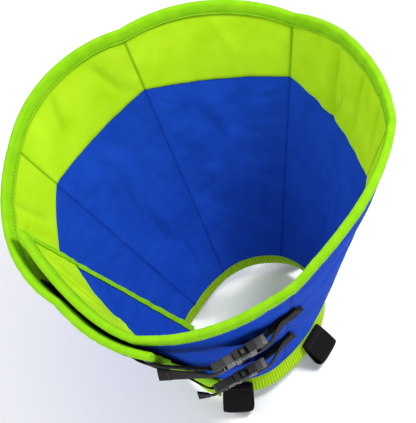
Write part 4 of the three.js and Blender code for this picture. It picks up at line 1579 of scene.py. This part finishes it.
@dataclass
class Stitching:
    """Rows of lockstitch, each stitch a small bead of thread."""

    length: float = 2.6 * MM
    pitch: float = 3.4 * MM
    radius: float = 0.32 * MM
    below_rim: float = 8.9 * MM
    tape_lift: float = 0.75 * MM
    beside_seam: float = 3.2 * MM
    seam_from_neck: float = 2 * MM
    seam_from_rim: float = 12 * MM
    cloth_lift: float = 0.1 * MM
    rim_points: int = 900
    seam_points: int = 160

    def bead(self) -> tuple[Array, Array]:
        """Points and corner numbers of one round stitch, a unit long each way."""
        bm = bmesh.new()
        bmesh.ops.create_uvsphere(bm, u_segments=6, v_segments=4, radius=1.0)
        bmesh.ops.triangulate(bm, faces=bm.faces)
        points = np.array([v.co for v in bm.verts])
        corners = np.array([[v.index for v in face.verts] for face in bm.faces])
        bm.free()
        return points, corners

    def row(self, points: Array, outs: Array) -> Array:
        """Places the stitches of one row.

        Args:
            points: Line of the row, close points in metres.
            outs: Direction out of the cloth at each point.

        Returns:
            For each stitch, its middle and its three half axes, as rows of a 4 by 3 table.
        """
        run = lengths(points)
        at = np.arange(self.pitch / 2, run[-1] - self.pitch / 2, self.pitch)
        ends = [sampled(at + s, run, points) for s in (-self.length / 2, self.length / 2)]
        x = (ends[1] - ends[0]) / 2
        y = np.cross(sampled(at, run, outs), x)
        y *= self.radius / np.linalg.norm(y, axis=1, keepdims=True)
        z = np.cross(x, y)
        z *= 0.8 * self.radius / np.linalg.norm(z, axis=1, keepdims=True)
        return np.stack([(ends[0] + ends[1]) / 2, x, y, z], axis=1)

    def on_wall(self, psi: Array, d: Array, h: Array) -> Array:
        """Places a row along places on the wrap."""
        points = WRAP.place(psi, d, h)
        outs = WRAP.place(psi, d, h + MM) - points
        return self.row(points, outs * (-1 if np.mean(h) < 0 else 1))

    def piece(self, name: str, rows: Sequence[Array], finish: Finish, slot: str) -> bpy.types.Object:
        """Copies the bead to every stitch of the rows and dresses them as one piece.

        Args:
            name: Name of the piece.
            rows: Places of the stitches, a table for each row.
            finish: The thread.
            slot: Not used.

        Returns:
            The piece.
        """
        points, corners = self.bead()
        places = np.concatenate(rows)
        spots = places[:, None, 0] + points @ places[:, 1:]
        faces = corners[None] + (np.arange(len(places)) * len(points))[:, None, None]
        mesh = bpy.data.meshes.new(name)
        mesh.from_pydata(spots.reshape(-1, 3).tolist(), [], faces.reshape(-1, 3).tolist())
        return dressed(shown(name, mesh), finish)

    def build(self, lines: Sequence[Row]) -> None:
        """Sews the rim's tape, the panels' seams and the webbing.

        Args:
            lines: Lines of stitches on the webbing.
        """
        psi = np.linspace(START + 1, END - 1, self.rim_points)
        d = WRAP.length(psi) - self.below_rim
        rim = [
            self.on_wall(psi, d, WRAP.skin(psi, d, Side.OUTER) + WRAP.gap + self.tape_lift),
            self.on_wall(psi, d, WRAP.stack(psi, d) - WRAP.gap - self.tape_lift),
        ]
        self.piece("rim_stitches", rim, LIME_THREAD, "binding")
        seams = []
        for seam in SEAMS[1:-1]:
            full = WRAP.length(np.array([seam]))[0]
            d = np.linspace(self.seam_from_neck, full - self.seam_from_rim, self.seam_points)
            for aside in (-self.beside_seam, self.beside_seam):
                turned = seam + np.degrees(aside / WRAP.radius(np.full_like(d, seam), d))
                seams.append(self.on_wall(turned, d, WRAP.skin(turned, d, Side.OUTER) + self.cloth_lift))
        self.piece("seam_stitches", seams, BLUE_THREAD, "shell")
        self.piece("webbing_stitches", [self.row(*line) for line in lines], BLACK_THREAD, "webbing")


class Softbox(NamedTuple):
    """A square soft light: its place and its width in metres, and its power in watts."""

    name: str
    at: tuple[float, float, float]
    size: float
    watts: float


@dataclass
class Studio:
    """White paper floor, soft lights and the camera at the photograph's angle."""

    floor_z: float = -34 * MM
    floor_size: float = 6.0
    lit_middle: tuple[float, float, float] = (0, 0, 0.12)
    lights: tuple[Softbox, ...] = (
        Softbox("key_softbox", (1.1, 0.2, 1.8), 0.5, 35),
        Softbox("side_softbox", (-1.5, -0.4, 1.1), 0.7, 14),
        Softbox("front_softbox", (0.3, -2.0, 0.4), 0.8, 3),
    )
    eye: tuple[float, float, float] = (0.30237, -0.81493, 1.32248)
    forward: tuple[float, float, float] = (-0.21755, 0.56491, -0.79596)
    up: tuple[float, float, float] = (-0.00178, 0.81526, 0.5791)
    lens_mm: float = 138.575
    ambient: float = 0.66

    def camera(self) -> None:
        """Makes the camera and hands it to the scene."""
        data = bpy.data.cameras.new("photo_camera")
        data.lens, data.sensor_width, data.sensor_fit = self.lens_mm, 36.0, "AUTO"
        data.clip_start, data.clip_end = 0.05, 20
        camera = bpy.data.objects.new("photo_camera", data)
        back = -Vector(self.forward).normalized()
        right = Vector(self.up).cross(back).normalized()
        turn = Matrix((right, back.cross(right), back)).transposed().to_4x4()
        camera.matrix_world = Matrix.Translation(self.eye) @ turn
        bpy.context.scene.collection.objects.link(camera)
        bpy.context.scene.camera = camera

    def shine(self, light: Softbox) -> None:
        """Turns a soft light to the cone's middle and switches it on."""
        data = bpy.data.lights.new(light.name, "AREA")
        data.size, data.energy = light.size, light.watts
        lamp = bpy.data.objects.new(light.name, data)
        lamp.location = light.at
        aim = Vector(self.lit_middle) - Vector(light.at)
        lamp.rotation_euler = aim.to_track_quat("-Z", "Y").to_euler()
        bpy.context.scene.collection.objects.link(lamp)

    def build(self) -> None:
        """Sets the floor, the world, the lights and the camera."""
        bm = bmesh.new()
        bmesh.ops.create_grid(bm, x_segments=4, y_segments=4, size=self.floor_size,
                              matrix=Matrix.Translation((0, 0, self.floor_z)))
        mesh = bpy.data.meshes.new("studio_floor")
        bm.to_mesh(mesh)
        bm.free()
        floor = shown("studio_floor", mesh)
        floor.data.materials.append(WHITE_PAPER.material())
        world = bpy.data.worlds.new("studio_air")
        world.use_nodes = True
        sky = world.node_tree.nodes["Background"]
        sky.inputs["Color"].default_value = (1, 1, 1, 1)
        sky.inputs["Strength"].default_value = self.ambient
        bpy.context.scene.world = world
        bpy.context.scene.view_settings.view_transform = "Standard"
        for light in self.lights:
            self.shine(light)
        self.camera()


def main() -> None:
    """Builds every sub-assembly in order and dresses it."""
    logging.basicConfig(level=logging.INFO, format="%(name)s %(message)s")
    shell, binding, cuff, strip = Shell(), Binding(), Cuff(), HookStrip()
    dressed(shell.panels(), BLUE_CLOTH, [f"panel_{k + 1}" for k in range(PANELS)])
    facing = dressed(shell.facing(), LIME_CLOTH, ["rim_facing"])
    rim = dressed(binding.rim(), LIME_TAPE, ["rim_binding"])
    inner = dressed(binding.end("inner_end_tape", START, 1), LIME_TAPE, ["inner_end_binding"])
    outer = dressed(binding.end("outer_end_tape", END, -1), LIME_TAPE, ["outer_end_binding"])
    long, wide, area = shell.facing_cut()
    dressed(cuff.knit(), LIME_RIB, ["neck_cuff"])
    dressed(strip.tape(), BLACK_NAP, ["hook_loop_strip"])
    lines = [*CollarLoops().build(cuff), *Straps().build()]
    Stitching().build(lines)
    Studio().build()


if __name__ == "__main__":
    main()
